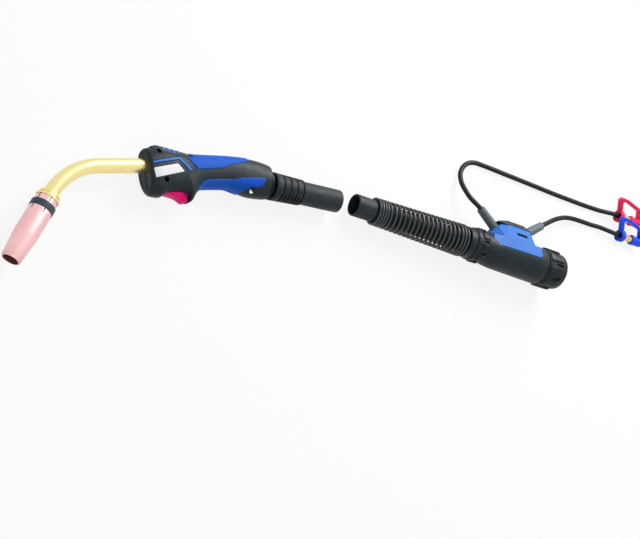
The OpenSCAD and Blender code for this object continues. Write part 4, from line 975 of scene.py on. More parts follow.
@dataclass
class TorchEnd:
    """The nozzle, its spring band, the collar and what they hold, along the nozzle's axis."""

    rear: float = 42.517
    mouth: float = 118.517
    outer: float = 12.5
    seat: float = 62.017
    slots: int = 6
    slot_width: float = 1.2
    band: Flat = (50.517, 58.017)
    collar_start: float = 37.117
    collar_seat: float = 10.35
    neck_radius: float = 8.0
    neck_wall: float = 1.0
    neck_start: float = 30.0
    bend_start: float = 53.0
    bend_radius: float = 72.0
    bend_angle: float = 52.0

    def nozzle(self) -> Shape:
        """The tube with its tapered front, its bore and its gripping slots.

        Returns:
            The nozzle.
        """
        m, step, half = self.mouth, self.band[1], self.slot_width / 2
        profile = ((10.4, self.rear), (11.8, self.rear), (11.8, step), (self.outer, step),
                   (self.outer, m - 30), (10.3, m - 1), (9.5, m), (8, m), (8, m - 12), (10.1, m - 26),
                   (10.1, self.seat + 1), (10.4, self.seat))
        radii = (0.2, 0.5, 0, 0.35, 40, 1.6, 0.6, 0.4, 8, 8, 0, 0)
        slot = Shape.block((self.rear - 1, -half, 5), (self.seat + 1, half, 16))
        cutters = [slot.mapped(PLAIN.rolled(360 / self.slots * i)) for i in range(self.slots)]
        return Shape.lathe(profile, radii, 112, 6).cut(*cutters)

    def spring_band(self) -> Shape:
        """The sprung ring round the nozzle's rear."""
        a, b = self.band
        return Shape.lathe(((11.8, a), (13.1, a), (13.1, b), (11.8, b)), (0.05, 0.5, 0.5, 0.05), 96)

    def collar(self) -> Shape:
        """The stepped brass collar with its two lips and its seat.

        Returns:
            The collar.
        """
        s, r, rear, seat = self.collar_start, self.neck_radius, self.rear, self.seat
        profile = ((r, s), (r + 2.4, s), (r + 3.2, s + 0.8), (r + 3.2, s + 2), (r + 2, s + 2.6),
                   (r + 2, s + 3.6), (12.1, s + 4.2), (12.6, s + 4.7), (12.6, rear + 1.6),
                   (11.95, rear + 1.6), (11.95, rear), (self.collar_seat, rear), (self.collar_seat, seat),
                   (4, seat), (4, seat - 10), (5, seat - 10), (5, s + 3.5), (r, s + 3.5))
        return Shape.lathe(profile, 0.28, 96)

    def neck(self) -> Shape:
        """The bent outer tube, in the handle's frame.

        Returns:
            The tube with its bore.
        """
        bend, radius, turn = self.bend_start, self.bend_radius, math.radians(self.bend_angle)
        path = [Vector((x, 0, 0)) for x in np.linspace(self.neck_start, -bend, 34)]
        for a in np.linspace(0, turn, 61)[1:]:
            path.append(Vector((-bend - radius * math.sin(a), -radius * (1 - math.cos(a)), 0)))
        end, ahead = path[-1], Vector((-math.cos(turn), -math.sin(turn), 0))
        path += [end + ahead * d for d in (1, 2, 3, 4.5)]
        bore = [path[0] + Vector((3, 0, 0)), *path, path[-1] + ahead * 3]
        outer = Shape.tube(path, self.neck_radius, 72)
        return outer.cut(Shape.tube(bore, self.neck_radius - self.neck_wall, 48))

    def build(self, shop: Workshop) -> None:
        """Makes and dresses every piece of the torch end.

        Args:
            shop: the workshop.
        """
        at, kit = shop.layout.nozzle, shop.finishes
        shop.place("bent_neck", self.neck(), kit.PALE_BRASS, "neck_brass", "swan_neck", at=shop.layout.work)
        shop.place("copper_nozzle", self.nozzle(), kit.PALE_COPPER, "nozzle_copper", "gas_nozzle", at=at,
                   body="nozzle", turned=True, mouth=self.mouth * MM)
        shop.place("spring_band", self.spring_band(), kit.BAND, "ring_steel", "nozzle_ring", at=at,
                   body="nozzle")
        shop.place("brass_collar", self.collar(), kit.PALE_BRASS, "neck_brass", "neck_collar", at=at,
                   turned=True)
        shop.dress(contact_tip=kit.TIP_COPPER, tip_holder=kit.BRASS, gas_diffuser=kit.CERAMIC,
                   neck_core=kit.TIP_COPPER, wire_liner=kit.LINER, neck_clamp=kit.INNER, neck_block=kit.BRASS)


# ---- handle ----


class Side(Enum):
    """The handle's two sides."""

    LEFT = "left"
    RIGHT = "right"

    def of(self, shape: Shape) -> Shape:
        """A left piece as it is on this side."""
        return shape if self is Side.LEFT else shape.mirrored()


@dataclass
class HandleForm:
    """The outside of the handle, as a smooth loft through stations.

    A station is its place, its top, its bottom, its share of the half width and its squareness. A point
    on the left side is named by its place along X and its share of the way from the lower seam to the
    upper one.
    """

    half_w: float = 17.5
    stations: tuple = (
        (-2, 15.2, -27, 0.72, 2.1), (0.4, 18.3, -32, 0.925, 2.15), (4, 19, -33.5, 0.95, 2.25),
        (12, 18.6, -34.5, 0.97, 2.45), (18, 17.6, -32, 0.97, 2.6), (31, 15.2, -31.2, 0.97, 2.65),
        (38, 13.9, -31.9, 0.97, 2.65), (42, 13.1, -33.6, 0.97, 2.7), (44, 12.8, -35.6, 0.97, 2.7),
        (45.6, 12.5, -41.5, 0.95, 2.9), (48.5, 12.1, -40.5, 0.945, 2.8), (51.5, 11.8, -36.5, 0.94, 2.7),
        (54.5, 11.4, -33, 0.94, 2.6), (58, 11, -28.5, 0.93, 2.6), (64, 10.6, -26, 0.92, 2.6),
        (76, 10.2, -25.5, 0.91, 2.6), (95, 9.6, -26, 0.91, 2.5), (110, 8.8, -30.7, 0.925, 2.4),
        (127, 7, -36.6, 0.94, 2.3), (140, 4.6, -38.4, 0.945, 2.2), (150, 1.4, -39.2, 0.95, 2.1),
        (160, -3, -41.2, 0.955, 2.1))
    step: float = 0.25
    around: int = 128
    fine: int = 361  # the angles of a station, half a degree apart
    drop: float = 11.9
    knuckle: Flat = (144.2, -20.8)
    rear: float = 6.6
    fillet: float = 1.5
    stretches: tuple = ((-0.5, 42.5, 1.5), (42.5, 60, 0.5), (60, 139, 2.0))
    sink: float = -0.3
    outline_step: float = 0.7
    least_step: float = 0.3
    seam_share: float = 0.002
    infill: Flat = (1.7, 1.0)
    xs: np.ndarray = field(init=False)
    span: np.ndarray = field(init=False)
    grid: np.ndarray = field(init=False)
    normal: np.ndarray = field(init=False)
    rows: list = field(init=False)
    arcs: np.ndarray = field(init=False)

    def __post_init__(self) -> None:
        """Works out the loft on a fine grid."""
        table = np.array(self.stations, float)
        self.xs = np.arange(table[0, 0], table[-1, 0] + TINY, self.step)
        self.rows = [pchip(table[:, 0], table[:, k], self.xs) for k in range(1, 5)]
        top, low, share, square = (r[:, None] for r in self.rows)
        a = np.radians(np.linspace(-90, 90, self.fine))[None, :]
        e = 2 / square
        y = (top + low) / 2 + (top - low) / 2 * np.sign(np.sin(a)) * np.abs(np.sin(a)) ** e
        z = share * self.half_w * np.abs(np.cos(a)) ** e
        lengths = np.cumsum(np.hypot(np.diff(y, axis=1), np.diff(z, axis=1)), axis=1)
        arc = np.concatenate([np.zeros((len(self.xs), 1)), lengths], axis=1)
        self.span = arc[:, -1]
        self.arcs = arc / self.span[:, None]
        f = np.linspace(0, 1, self.around + 1)
        self.grid = np.zeros((len(self.xs), self.around + 1, 3))
        for i, x in enumerate(self.xs):
            self.grid[i, :, 0] = x
            self.grid[i, :, 1] = np.interp(f, self.arcs[i], y[i])
            self.grid[i, :, 2] = np.interp(f, self.arcs[i], z[i])
        normal = np.cross(np.gradient(self.grid, axis=1), np.gradient(self.grid, axis=0))
        self.normal = normal / np.linalg.norm(normal, axis=2, keepdims=True)
        if self.normal[len(self.xs) // 2, self.around // 2, 2] < 0:
            self.normal = -self.normal

    def on(self, x: np.ndarray | float, f: np.ndarray, grow: np.ndarray | float = 0.0) -> np.ndarray:
        """Points of the loft.

        Args:
            x: their places along X.
            f: their shares of the way from the lower seam to the upper one.
            grow: how far outside the surface each lies.
        Returns:
            The points, one a row.
        """
        x, f = np.broadcast_arrays(np.atleast_1d(np.asarray(x, float)), np.atleast_1d(np.asarray(f, float)))
        i = np.clip((x - self.xs[0]) / self.step, 0, len(self.xs) - 1 - TINY)
        j = np.clip(f * self.around, 0, self.around - TINY)
        i0, j0 = np.minimum(i.astype(int), len(self.xs) - 2), j.astype(int)
        u, v = (i - i0)[:, None], (j - j0)[:, None]

        def read(table: np.ndarray) -> np.ndarray:
            """A table's values between its grid points."""
            return ((table[i0, j0] * (1 - v) + table[i0, j0 + 1] * v) * (1 - u)
                    + (table[i0 + 1, j0] * (1 - v) + table[i0 + 1, j0 + 1] * v) * u)

        normal = read(self.normal)
        normal /= np.linalg.norm(normal, axis=1, keepdims=True)
        point = read(self.grid) + normal * np.broadcast_to(grow, x.shape)[:, None]
        point[(f <= TINY) | (f >= 1 - TINY), 2] = 0
        return point

    def length_at(self, x: np.ndarray) -> np.ndarray:
        """The length round the left side at places along X."""
        return np.interp(x, self.xs, self.span)

    def share_at(self, x: float, y: float) -> float:
        """The share of the way up at which the left side has a height.

        Args:
            x: the place along X.
            y: the height.
        Returns:
            The share.
        """
        i = int(np.clip(round((x - self.xs[0]) / self.step), 0, len(self.xs) - 1))
        top, low, _, square = (r[i] for r in self.rows)
        s = max(-1.0, min(1.0, (y - (top + low) / 2) / ((top - low) / 2)))
        a = math.asin(math.copysign(abs(s) ** (square / 2), s))
        return float(np.interp((math.degrees(a) + 90) * 2, np.arange(self.fine), self.arcs[i]))

    def end_x(self, f: np.ndarray, grow: float) -> np.ndarray:
        """Where the loft's lines meet the handle's end, a plane square to the cable.

        Args:
            f: the lines' shares of the way up.
            grow: how far outside the surface they lie.
        Returns:
            The places along X.
        """
        x = np.full(len(f), 150.0)
        c, s = cos_sin(self.drop)
        for _ in range(12):
            y = self.on(x, f, grow)[:, 1]
            x = self.knuckle[0] + (self.rear + (y - self.knuckle[1]) * s) / c
        return x

    def half(self, parts: int = 72) -> Shape:
        """The left half as a solid with softened ends.

        Args:
            parts: how many faces it has from seam to seam.
        Returns:
            The solid.
        """
        f = np.linspace(0, 1, parts + 1)
        front, last = self.stations[0][0], self.stretches[-1][1]
        rings = []
        for c, s in (cos_sin(k) for k in reversed(QUARTER)):
            rings.append(self.on(front + self.fillet * (1 - s), f, -self.fillet * (1 - c)))
        for stretch in self.stretches:
            rings.extend(self.on(x, f) for x in np.arange(*stretch))
        rear = self.end_x(f, 0)
        for t in (0.2, 0.4, 0.6, 0.8):
            rings.append(self.on(last + (rear - self.fillet - last) * t, f))
        for c, s in (cos_sin(k) for k in (0, *QUARTER)):
            grow = -self.fillet * (1 - c)
            rings.append(self.on(self.end_x(f, grow) - self.fillet * (1 - s), f, grow))
        return Shape.skin(rings)

    def whole(self, grow: float, low: float, high: float, floor: Spot | None = None) -> Shape:
        """Both sides together between two places along X.

        Args:
            grow: how far outside the surface it lies.
            low: where it starts.
            high: where it ends.
            floor: a stretch along X and the height below which it doesn't reach there.
        Returns:
            The solid.
        """
        f = np.linspace(0, 1, 49)
        rings = []
        for x in np.append(np.arange(low, high, 2.0), high):
            ring = self.on(x, f, grow)
            if floor and floor[0] <= x <= floor[1]:
                ring[:, 1] = np.maximum(ring[:, 1], floor[2])
            rings.append(np.concatenate([ring, ring[-2:0:-1] * (1, 1, -1)]))
        return Shape.skin(rings)

    def patch(self, outline: Sequence[Flat], thick: float, edge: float, spread: float = 0.0,
              corner: float = 1.6) -> Shape:
        """A thin overlay on the left side with a rounded rim.

        Args:
            outline: its outline in the side view. Where it passes the top or the bottom, it ends at the seam.
            thick: how far it stands proud.
            edge: the radius of its rim.
            spread: how much wider than the outline it is.
            corner: the radius of its corners.
        Returns:
            The overlay in the handle's frame.
        """
        flat: list[Flat] = []
        seam: list[bool] = []
        for x, y in dense(rounded(outline, corner), self.outline_step):
            f = self.share_at(x, y)
            spot = (x, (f - 0.5) * float(self.length_at(np.array([x]))[0]))
            if flat and math.dist(flat[-1], spot) < self.least_step:
                continue
            flat.append(spot)
            seam.append(min(f, 1 - f) < self.seam_share)
        if math.dist(flat[0], flat[-1]) < self.least_step:
            flat.pop()
            seam.pop()
        loop, on_seam = np.array(flat), np.array(seam)[:, None]
        area = np.sum(loop[:, 0] * np.roll(loop[:, 1], -1) - np.roll(loop[:, 0], -1) * loop[:, 1])
        along = np.roll(loop, -2, axis=0) - np.roll(loop, 2, axis=0)
        inward = np.stack([-along[:, 1], along[:, 0]], axis=1) * (1 if area > 0 else -1)
        inward /= np.maximum(np.linalg.norm(inward, axis=1, keepdims=True), 1e-9)
        weight = np.where(on_seam, 0.25, 1.0)
        loop = loop - inward * spread * np.where(on_seam, 0.0, 1.0)
        rims = [(loop, self.sink), (loop, max(thick - edge, 0.0))]
        for c, s in (cos_sin(k) for k in QUARTER):
            rims.append((loop + inward * weight * edge * (1 - c), thick - edge + edge * s))

        def lifted(spots: np.ndarray, high: float) -> list[Spot]:
            """Flat spots carried onto the loft."""
            share = np.clip(spots[:, 1] / self.length_at(spots[:, 0]) + 0.5, 0, 1)
            return [tuple(p) for p in self.on(spots[:, 0], share, high)]

        shape = Shape.skin([lifted(*rim) for rim in rims], caps=False)
        inner = rims[-1][0]
        grid = _inside(inner, *self.infill)
        for spots, high, turn in ((inner, thick, 1), (loop, self.sink, -1)):
            edges = [(i, (i + 1) % len(spots)) for i in range(len(spots))]
            points = [Vector(p) for p in (*spots, *grid)]
            found, _, faces, _, _, _ = delaunay_2d_cdt(points, edges, [], 1, 1e-5)
            cover = lifted(np.array([tuple(p) for p in found]), high)
            shape = shape.added(Shape(cover, [tuple(f)[::turn] for f in faces]))
        return shape


def _inside(loop: np.ndarray, step: float, gap: float) -> np.ndarray:
    """Grid points inside a closed loop, at least a gap from its line.

    Args:
        loop: the loop's points.
        step: the grid's step.
        gap: the least distance from the line.
    Returns:
        The points.
    """
    low, high = loop.min(0), loop.max(0)
    gx, gy = np.meshgrid(np.arange(low[0], high[0], step), np.arange(low[1], high[1], step))
    gx = gx + (np.arange(gx.shape[0]) % 2 * step / 2)[:, None]
    spots = np.stack([gx.ravel(), gy.ravel()], axis=1)
    inside = np.zeros(len(spots), bool)
    near = np.full(len(spots), np.inf)
    for a, b in zip(loop, np.roll(loop, -1, axis=0)):
        cross = (a[1] > spots[:, 1]) != (b[1] > spots[:, 1])
        with np.errstate(divide="ignore", invalid="ignore"):
            at = (b[0] - a[0]) * (spots[:, 1] - a[1]) / (b[1] - a[1]) + a[0]
        inside ^= cross & (spots[:, 0] < at)
        d = b - a
        t = np.clip(((spots - a) @ d) / max(d @ d, 1e-12), 0, 1)
        near = np.minimum(near, np.linalg.norm(spots - a - t[:, None] * d, axis=1))
    return spots[inside & (near > gap)]


@dataclass
class Handle:
    """The two shells, their overlays, the pad, the trigger and the screws."""

    form: HandleForm = field(default_factory=HandleForm)
    wall: float = 2.6
    hollow: Flat = (2, 133)
    trigger_wall: Spot = (40.9, 56.1, -27)
    post: float = 4.6
    hinge_post: float = 3.4
    ribs: Flat = (20, 31)
    neck_bore: float = 8.15
    clamp_bore: float = 11
    socket_bore: float = 14.65
    screw_bore: float = 1.65
    head_bore: float = 3.0
    hinge_bore: float = 1.5
    upper_grip: tuple = ((52.3, 20), (52.3, 5.5), (46.4, 5.5), (46, 4), (55, -8), (89, -6.5), (96, -3),
                         (124, 1.5), (130, 20))
    lower_grip: tuple = ((53, -50), (56, -27), (61.5, -20.5), (69, -18.8), (78, -18.3), (102, -19),
                         (108, -17.4), (141.4, -17.8), (137.4, -26), (132, -28), (122, -27.6), (114, -31),
                         (105, -34), (98, -50))
    stripe: tuple = ((1.6, 1.4), (35.4, 6.2), (48.4, -9), (45.2, -10.4), (33.4, 3), (1.6, -1.4))
    plate: tuple = ((1.4, -6.2), (30.8, -1.8), (38, -10.6), (2.8, -16.6))
    screws: tuple = ((12.4, 13.2), (15.5, -18.4), (124, -31.2))
    case_screw: SocketScrew = SocketScrew(-10.4, 7, 9.4, (0.3, 0.2, 0.5), (1.3, 8, 12))
    pivot: Flat = (19.5, -26.5)
    trigger_half: float = 7.0
    slot_half: float = 7.3
    pad_side: tuple = ((6, 10), (6, 18.4), (8, 20.6), (14, 21.6), (20, 20.2), (50, 12.6), (52, 11), (52, 4))
    pad_flat: float = 4.8
    pad_wide: float = 13.4
    pad_fall: float = 7.6
    ridge_start: int = 4
    ridge_count: int = 4
    ridge_pitch: float = 6
    trigger_side: tuple = ((16.2, -28), (18.4, -31.4), (25, -33.4), (30, -34.8), (34.8, -37.4), (38.2, -40.4),
                           (41, -41.6), (42.6, -40.8), (43.2, -38.4), (44, -28.4), (34, -25.6), (26, -25.6),
                           (23, -23.2), (16.6, -23.4))
    trigger_rounding: tuple = (1.2, 1.5, 6, 6, 6, 3, 1.6, 1.2, 1.5, 1, 1, 0.8, 0.8, 1)
    bundle: tuple = ((66, 0), (70, 0), (78, -1.2), (88, -3.5), (100, -7), (112, -11.5), (122, -15.5),
                     (134, -18.6))
    lead_set: tuple = ((-2.6, 0, 2.9), (2.9, 0, 2.6), (0.4, 3.7, 2.0), (0.4, -3.7, 2.0))
    coil: float = 2.1
    coil_wire: float = 0.42

    def shell(self) -> Shape:
        """The left shell with its hollow, bosses, bores and trigger slot.

        Returns:
            The shell.
        """
        posts = [Shape.pin(self.post, -1, 20, at) for at in self.screws]
        posts.append(Shape.pin(self.hinge_post, self.slot_half, 20, self.pivot))
        posts += [Shape.block((x, -11, 0), (x + 2, 18, 40)) for x in self.ribs]
        hollow = self.form.whole(-self.wall, *self.hollow, self.trigger_wall).cut(*posts)
        cable = PLAIN.branch(self.form.knuckle, -self.form.drop)
        cutters = [hollow, Shape.rod(self.neck_bore, -3, 19, 64), Shape.rod(self.clamp_bore, 18, 35, 64),
                   Shape.block((15, -60, -1), (45, -25, self.slot_half)),
                   Shape.pin(self.hinge_bore, -1, 12, self.pivot),
                   Shape.rod(self.socket_bore, -12, 9, 72).mapped(cable)]
        for at in self.screws:
            cutters += [Shape.pin(self.screw_bore, -1, 30, at), Shape.pin(self.head_bore, 7, 30, at)]
        return self.form.half().cut(*cutters)

    def pad(self) -> Shape:
        """The raised pad on the head, faceted down its sides.

        Returns:
            The pad.
        """
        points = [(x, y, self.pad_flat) for x, y in self.pad_side]
        points += [(x, y - (self.pad_fall if y > 10 else 0), self.pad_wide) for x, y in self.pad_side]
        screw = Shape.pin(self.head_bore, -40, 40, self.screws[0])
        return Shape.hull(points).bevelled(0.9, 3, 8).cut(self.form.whole(-0.25, 1, 60), screw)

    def pad_ridges(self) -> Shape:
        """Four raised bars on each of the pad's slopes.

        Returns:
            The eight bars.
        """
        made = Shape()
        (x, y), (x1, y1) = self.pad_side[self.ridge_start:self.ridge_start + 2]
        for side in (1, -1):
            along = Vector((x1 - x, y1 - y, 0)).normalized()
            slope = Vector((0, -self.pad_fall, side * (self.pad_wide - self.pad_flat)))
            down = (slope - along * slope.dot(along)).normalized()
            place = Place(Vector((x, y, side * self.pad_flat)), along, down, along.cross(down) * side)
            for start in (self.ridge_pitch * i for i in range(self.ridge_count)):
                bar = Shape.block((start, 0.1, -0.3), (start + 3.4, 9.6, 0.7)).bevelled(0.35, 3)
                made = made.added(bar.mapped(place))
        return made

    def trigger(self) -> Shape:
        """The curved trigger with its hinge hole and its spring pocket.

        Returns:
            The trigger.
        """
        outline = rounded(self.trigger_side, self.trigger_rounding, 5)
        blade = Shape.prism(outline, -self.trigger_half, self.trigger_half).bevelled(1.1, 4, 50)
        x, y = self.pivot
        pocket = Shape.block((x - 6, y - 3.6, -3.2), (x + 4.4, y + 6.4, 3.2))
        return blade.cut(Shape.pin(self.hinge_bore + 0.05, -12, 12, self.pivot), pocket)

    def leads(self) -> Shape:
        """The water, gas and current leads from the neck block to the ball.

        Returns:
            The four leads.
        """
        made = Shape()
        line = Spline([Vector((x, y, 0)) for x, y in self.bundle]).points(5)
        for y, z, radius in self.lead_set:
            made = made.added(Shape.tube([p + Vector((0, y, z)) for p in line], radius, 18))
        return made

    def spring(self) -> Shape:
        """The trigger's torsion spring: five turns on the pin and a leg.

        Returns:
            The spring.
        """
        (x, y), r = self.pivot, self.coil
        path = [Vector((x + r * math.sin(t), y - r * math.cos(t), -2.4 + 4.8 * t / (10 * math.pi)))
                for t in np.linspace(math.pi / 2, 10.5 * math.pi, 121)]
        end = path[-1].z
        path += [Vector((x + r, y + d, end)) for d in np.linspace(0.6, -y - 11.1, 12)]
        return Shape.tube(path, self.coil_wire, 8)

    def build(self, shop: Workshop) -> None:
        """Makes and dresses every piece of the handle.

        Args:
            shop: the workshop.
        """
        at, kit, patch = shop.layout.work, shop.finishes, self.form.patch
        sides = (
            ("shell", kit.SHELL, "shell_plastic", "handle", self.shell(), 28),
            ("upper_grip", kit.GRIP, "grip_rubber", "grip_upper", patch(self.upper_grip, 0.9, 0.8), 50),
            ("lower_grip", kit.GRIP, "grip_rubber", "grip_lower", patch(self.lower_grip, 0.9, 0.8), 50),
            ("accent_stripe", kit.ACCENT, "accent_plastic", "stripe",
             patch(self.stripe, 0.5, 0.35, corner=0.8), 50),
            ("blank_plate", kit.PLATE, "plate_plastic", "plate",
             patch(self.plate, 0.5, 0.35, corner=1.2), 50),
            # a near-black rim round each stripe: painted shade of a groove
            ("stripe_groove_shade", kit.GROOVE_SHADE, "shell_plastic", "", patch(self.stripe, 0.14, 0.1, 0.75, 1.2), 50))
        for side in Side:
            end = f"_{side.value}"
            shop.lay(at, *((name + end, side.of(shape), finish, slot, node and node + end, "root", sharp)
                           for name, finish, slot, node, shape, sharp in sides))
        one = self.case_screw.shape().swapped()
        first, second, rear = (one.moved(*spot) for spot in self.screws)
        shop.lay(
            at,
            ("head_pad", self.pad(), kit.SHELL, "shell_plastic", "top_pad", "root", 24),
            ("pad_ridges", self.pad_ridges(), kit.ACCENT, "accent_plastic", "pad_ridge_set", "root", 32),
            ("trigger_blade", self.trigger(), kit.MAGENTA, "trigger_plastic", "trigger", "trigger", 32),
            ("head_screws", first.added(second), kit.BURNISHED, "bright_steel", "handle_screws", "root", 32),
            ("rear_screw", rear, kit.STEEL, "bright_steel", "handle_screws", "root", 32),
            ("leads", self.leads(), kit.LEADS, "lead_rubber", "lead_bundle", "root", 32),
            ("trigger_coil", self.spring(), kit.STEEL, "liner_steel", "trigger_spring", "root", 32))
        shop.dress(trigger_pin=kit.BURNISHED, micro_switch=kit.INNER, switch_plunger=kit.PLUNGER,
                   handle_nuts=kit.STEEL)


# ---- cable joint ----


@dataclass
class CableJoint:
    """The swivel socket, the ribbed boot and the hose behind the handle, along the cable."""

    hollow: float = 12.8
    boot_start: float = 13.2
    boot_end: float = 53.2
    boot_radius: float = 16.2
    boot_taper: float = 1.2
    boot_sides: int = 120
    sleeve: float = 17.2
    hose_end: float = 107.2
    ribs: int = 4
    pitch: float = 9.0

    def socket(self) -> Shape:
        """The turning socket with the hollow for the ball.

        Returns:
            The socket.
        """
        r = self.hollow
        hollow = [(r * math.cos(math.asin(u / r)), u) for u in np.linspace(5, -6.4, 20)]
        profile = ((11, -10), (14.6, -10), (14.6, 6.8), (16.6, 6.8), (16.6, 8.0), (16.2, 8.5), (13.1, 8.5))
        return Shape.lathe(rounded(profile, (0, 0.4, 0, 0.25, 0.3, 0.2, 0.3)) + hollow, sides=96)

    def boot(self) -> Shape:
        """The bend relief: a sleeve with full grooves, and slots between them above and below.

        Returns:
            The boot.
        """
        start, end, outer = self.boot_start, self.boot_end, self.boot_radius
        marks = [(start + 1 + i * self.pitch / 2, i % 2 == 0) for i in range(2, 2 * self.ribs + 1)]
        rings = []
        for a in angles(self.boot_sides):
            reach = min(1.0, max(0.0, (abs(math.cos(a)) - 0.62) / 0.14))
            reach = reach * reach * (3 - 2 * reach)
            line: list[Flat] = [(10, start), (15.4, start), (15.9, start + 0.2), (outer, start + 0.8)]
            for c, full in marks:
                wide = (0.5 + 0.5 * reach) if full else 0.2 + 0.75 * reach
                deep = (1.2 + 0.7 * reach) if full else 1.7 * reach
                skin = outer - self.boot_taper * (c - start) / (end - start)
                lip = skin - min(0.12, deep)
                line += [(skin, c - wide - 0.35), (lip, c - wide - 0.12), (skin - deep, c - wide + 0.1),
                         (skin - deep, c + wide - 0.1), (lip, c + wide + 0.12), (skin, c + wide + 0.35)]
            line += [(15.0, end - 0.9), (14.75, end - 0.25), (14.2, end), (13.3, end), (13.3, self.sleeve),
                     (10, self.sleeve)]
            rings.append(turned(line, a))
        return Shape.skin(rings, closed=True)

    def hose(self) -> Shape:
        """The cut length of outer hose.

        Returns:
            The hose.
        """
        end = self.hose_end
        profile = ((11.7, self.sleeve), (13.3, self.sleeve), (13.3, self.boot_end), (13.5, self.boot_end),
                   (13.5, 70), (13.5, 88), (13.5, end), (11.7, end))
        return Shape.lathe(profile, (0, 0, 0, 0, 0, 0, 1.0, 0.6), 96)

    def build(self, shop: Workshop) -> None:
        """Makes and dresses every piece of the joint.

        Args:
            shop: the workshop.
        """
        at, kit = shop.layout.cable, shop.finishes
        shop.lay(
            at,
            ("swivel_socket", self.socket(), kit.JOINT, "joint_plastic", "swivel_ring", "swivel", 32),
            ("ribbed_boot", self.boot(), kit.BOOT, "boot_rubber", "cable_boot", "cable_end", 32),
            ("outer_hose_torch", self.hose(), kit.HOSE, "hose_rubber", "torch_hose", "cable_end", 32))
        shop.dress(knuckle_ball=kit.JOINT, torch_core=kit.CORE)


# ---- machine end ----


@dataclass
class LobedRing:
    """A ring with raised grip pads and short slots between them, along the machine end's axis."""

    start: float
    end: float
    radius: float
    lobe: float
    pad: Flat
    slot: Flat
    slot_width: float
    inner: tuple
    rim: tuple = ()
    count: int = 8
    half_lobe: float = 0.24
    slot_depth: float = 2.0

    def turns(self) -> list[Spot]:
        """The lines that the ring is made of, all the way round.

        Returns:
            Each line's angle in degrees, how far a pad is up there and how deep a slot is.
        """
        half = math.degrees(math.asin(self.half_lobe))
        slot = math.degrees(self.slot_width / 2 / self.radius)
        flank = ((half + 0.9, 0), (half + 0.3, 0.25), (half - 0.5, 0.85), (half - 1.8, 1), (8, 1), (4, 1))
        lobe = [(-d, up) for d, up in flank] + [(0, 1)] + [(d, up) for d, up in reversed(flank)]
        made: list[Spot] = []
        for i in range(self.count):
            middle, gap = 360 * (i + 0.5) / self.count, 360 * (i + 1) / self.count
            made += [(middle + d, up, 0) for d, up in lobe]
            made += [(gap + d, 0, deep) for d, deep in ((-slot - 0.5, 0), (-slot, 1), (slot, 1),
                                                        (slot + 0.5, 0))]
        return made

    def shape(self) -> Shape:
        """The ring's mesh.

        Returns:
            The ring.
        """
        a, b = self.start, self.end
        (p0, p1), (s0, s1) = self.pad, self.slot
        lengths = ((a, -1.5, 0, 0), (a + 0.6, -0.5, 0, 0), (a + 1.2, 0, 0, 0), (p0 - 0.5, 0, 0, 0),
                   (p0 - 0.1, 0, 0.3, 0), (p0 + 0.3, 0, 0.85, 0), (p0 + 1.0, 0, 1, 0), (s0 - 0.2, 0, 1, 0),
                   (s0 + 0.1, 0, 1, 1), ((s0 + s1) / 2, 0, 1, 1), (s1 - 0.1, 0, 1, 1), (s1 + 0.2, 0, 1, 0),
                   (p1 - 1.0, 0, 1, 0), (p1 - 0.3, 0, 0.85, 0), (p1 + 0.1, 0, 0.3, 0), (p1 + 0.5, 0, 0, 0),
                   (b - 0.8, 0, 0, 0), (b - 0.25, -0.2, 0, 0), (b, -0.8, 0, 0))
        rings = []
        for degrees, up, deep in self.turns():
            line = [(self.radius + d + self.lobe * up * pad - self.slot_depth * deep * slot, u)
                    for u, d, pad, slot in lengths]
            rings.append(turned([*line, *self.rim, *self.inner], math.radians(degrees)))
        return Shape.skin(rings, closed=True)


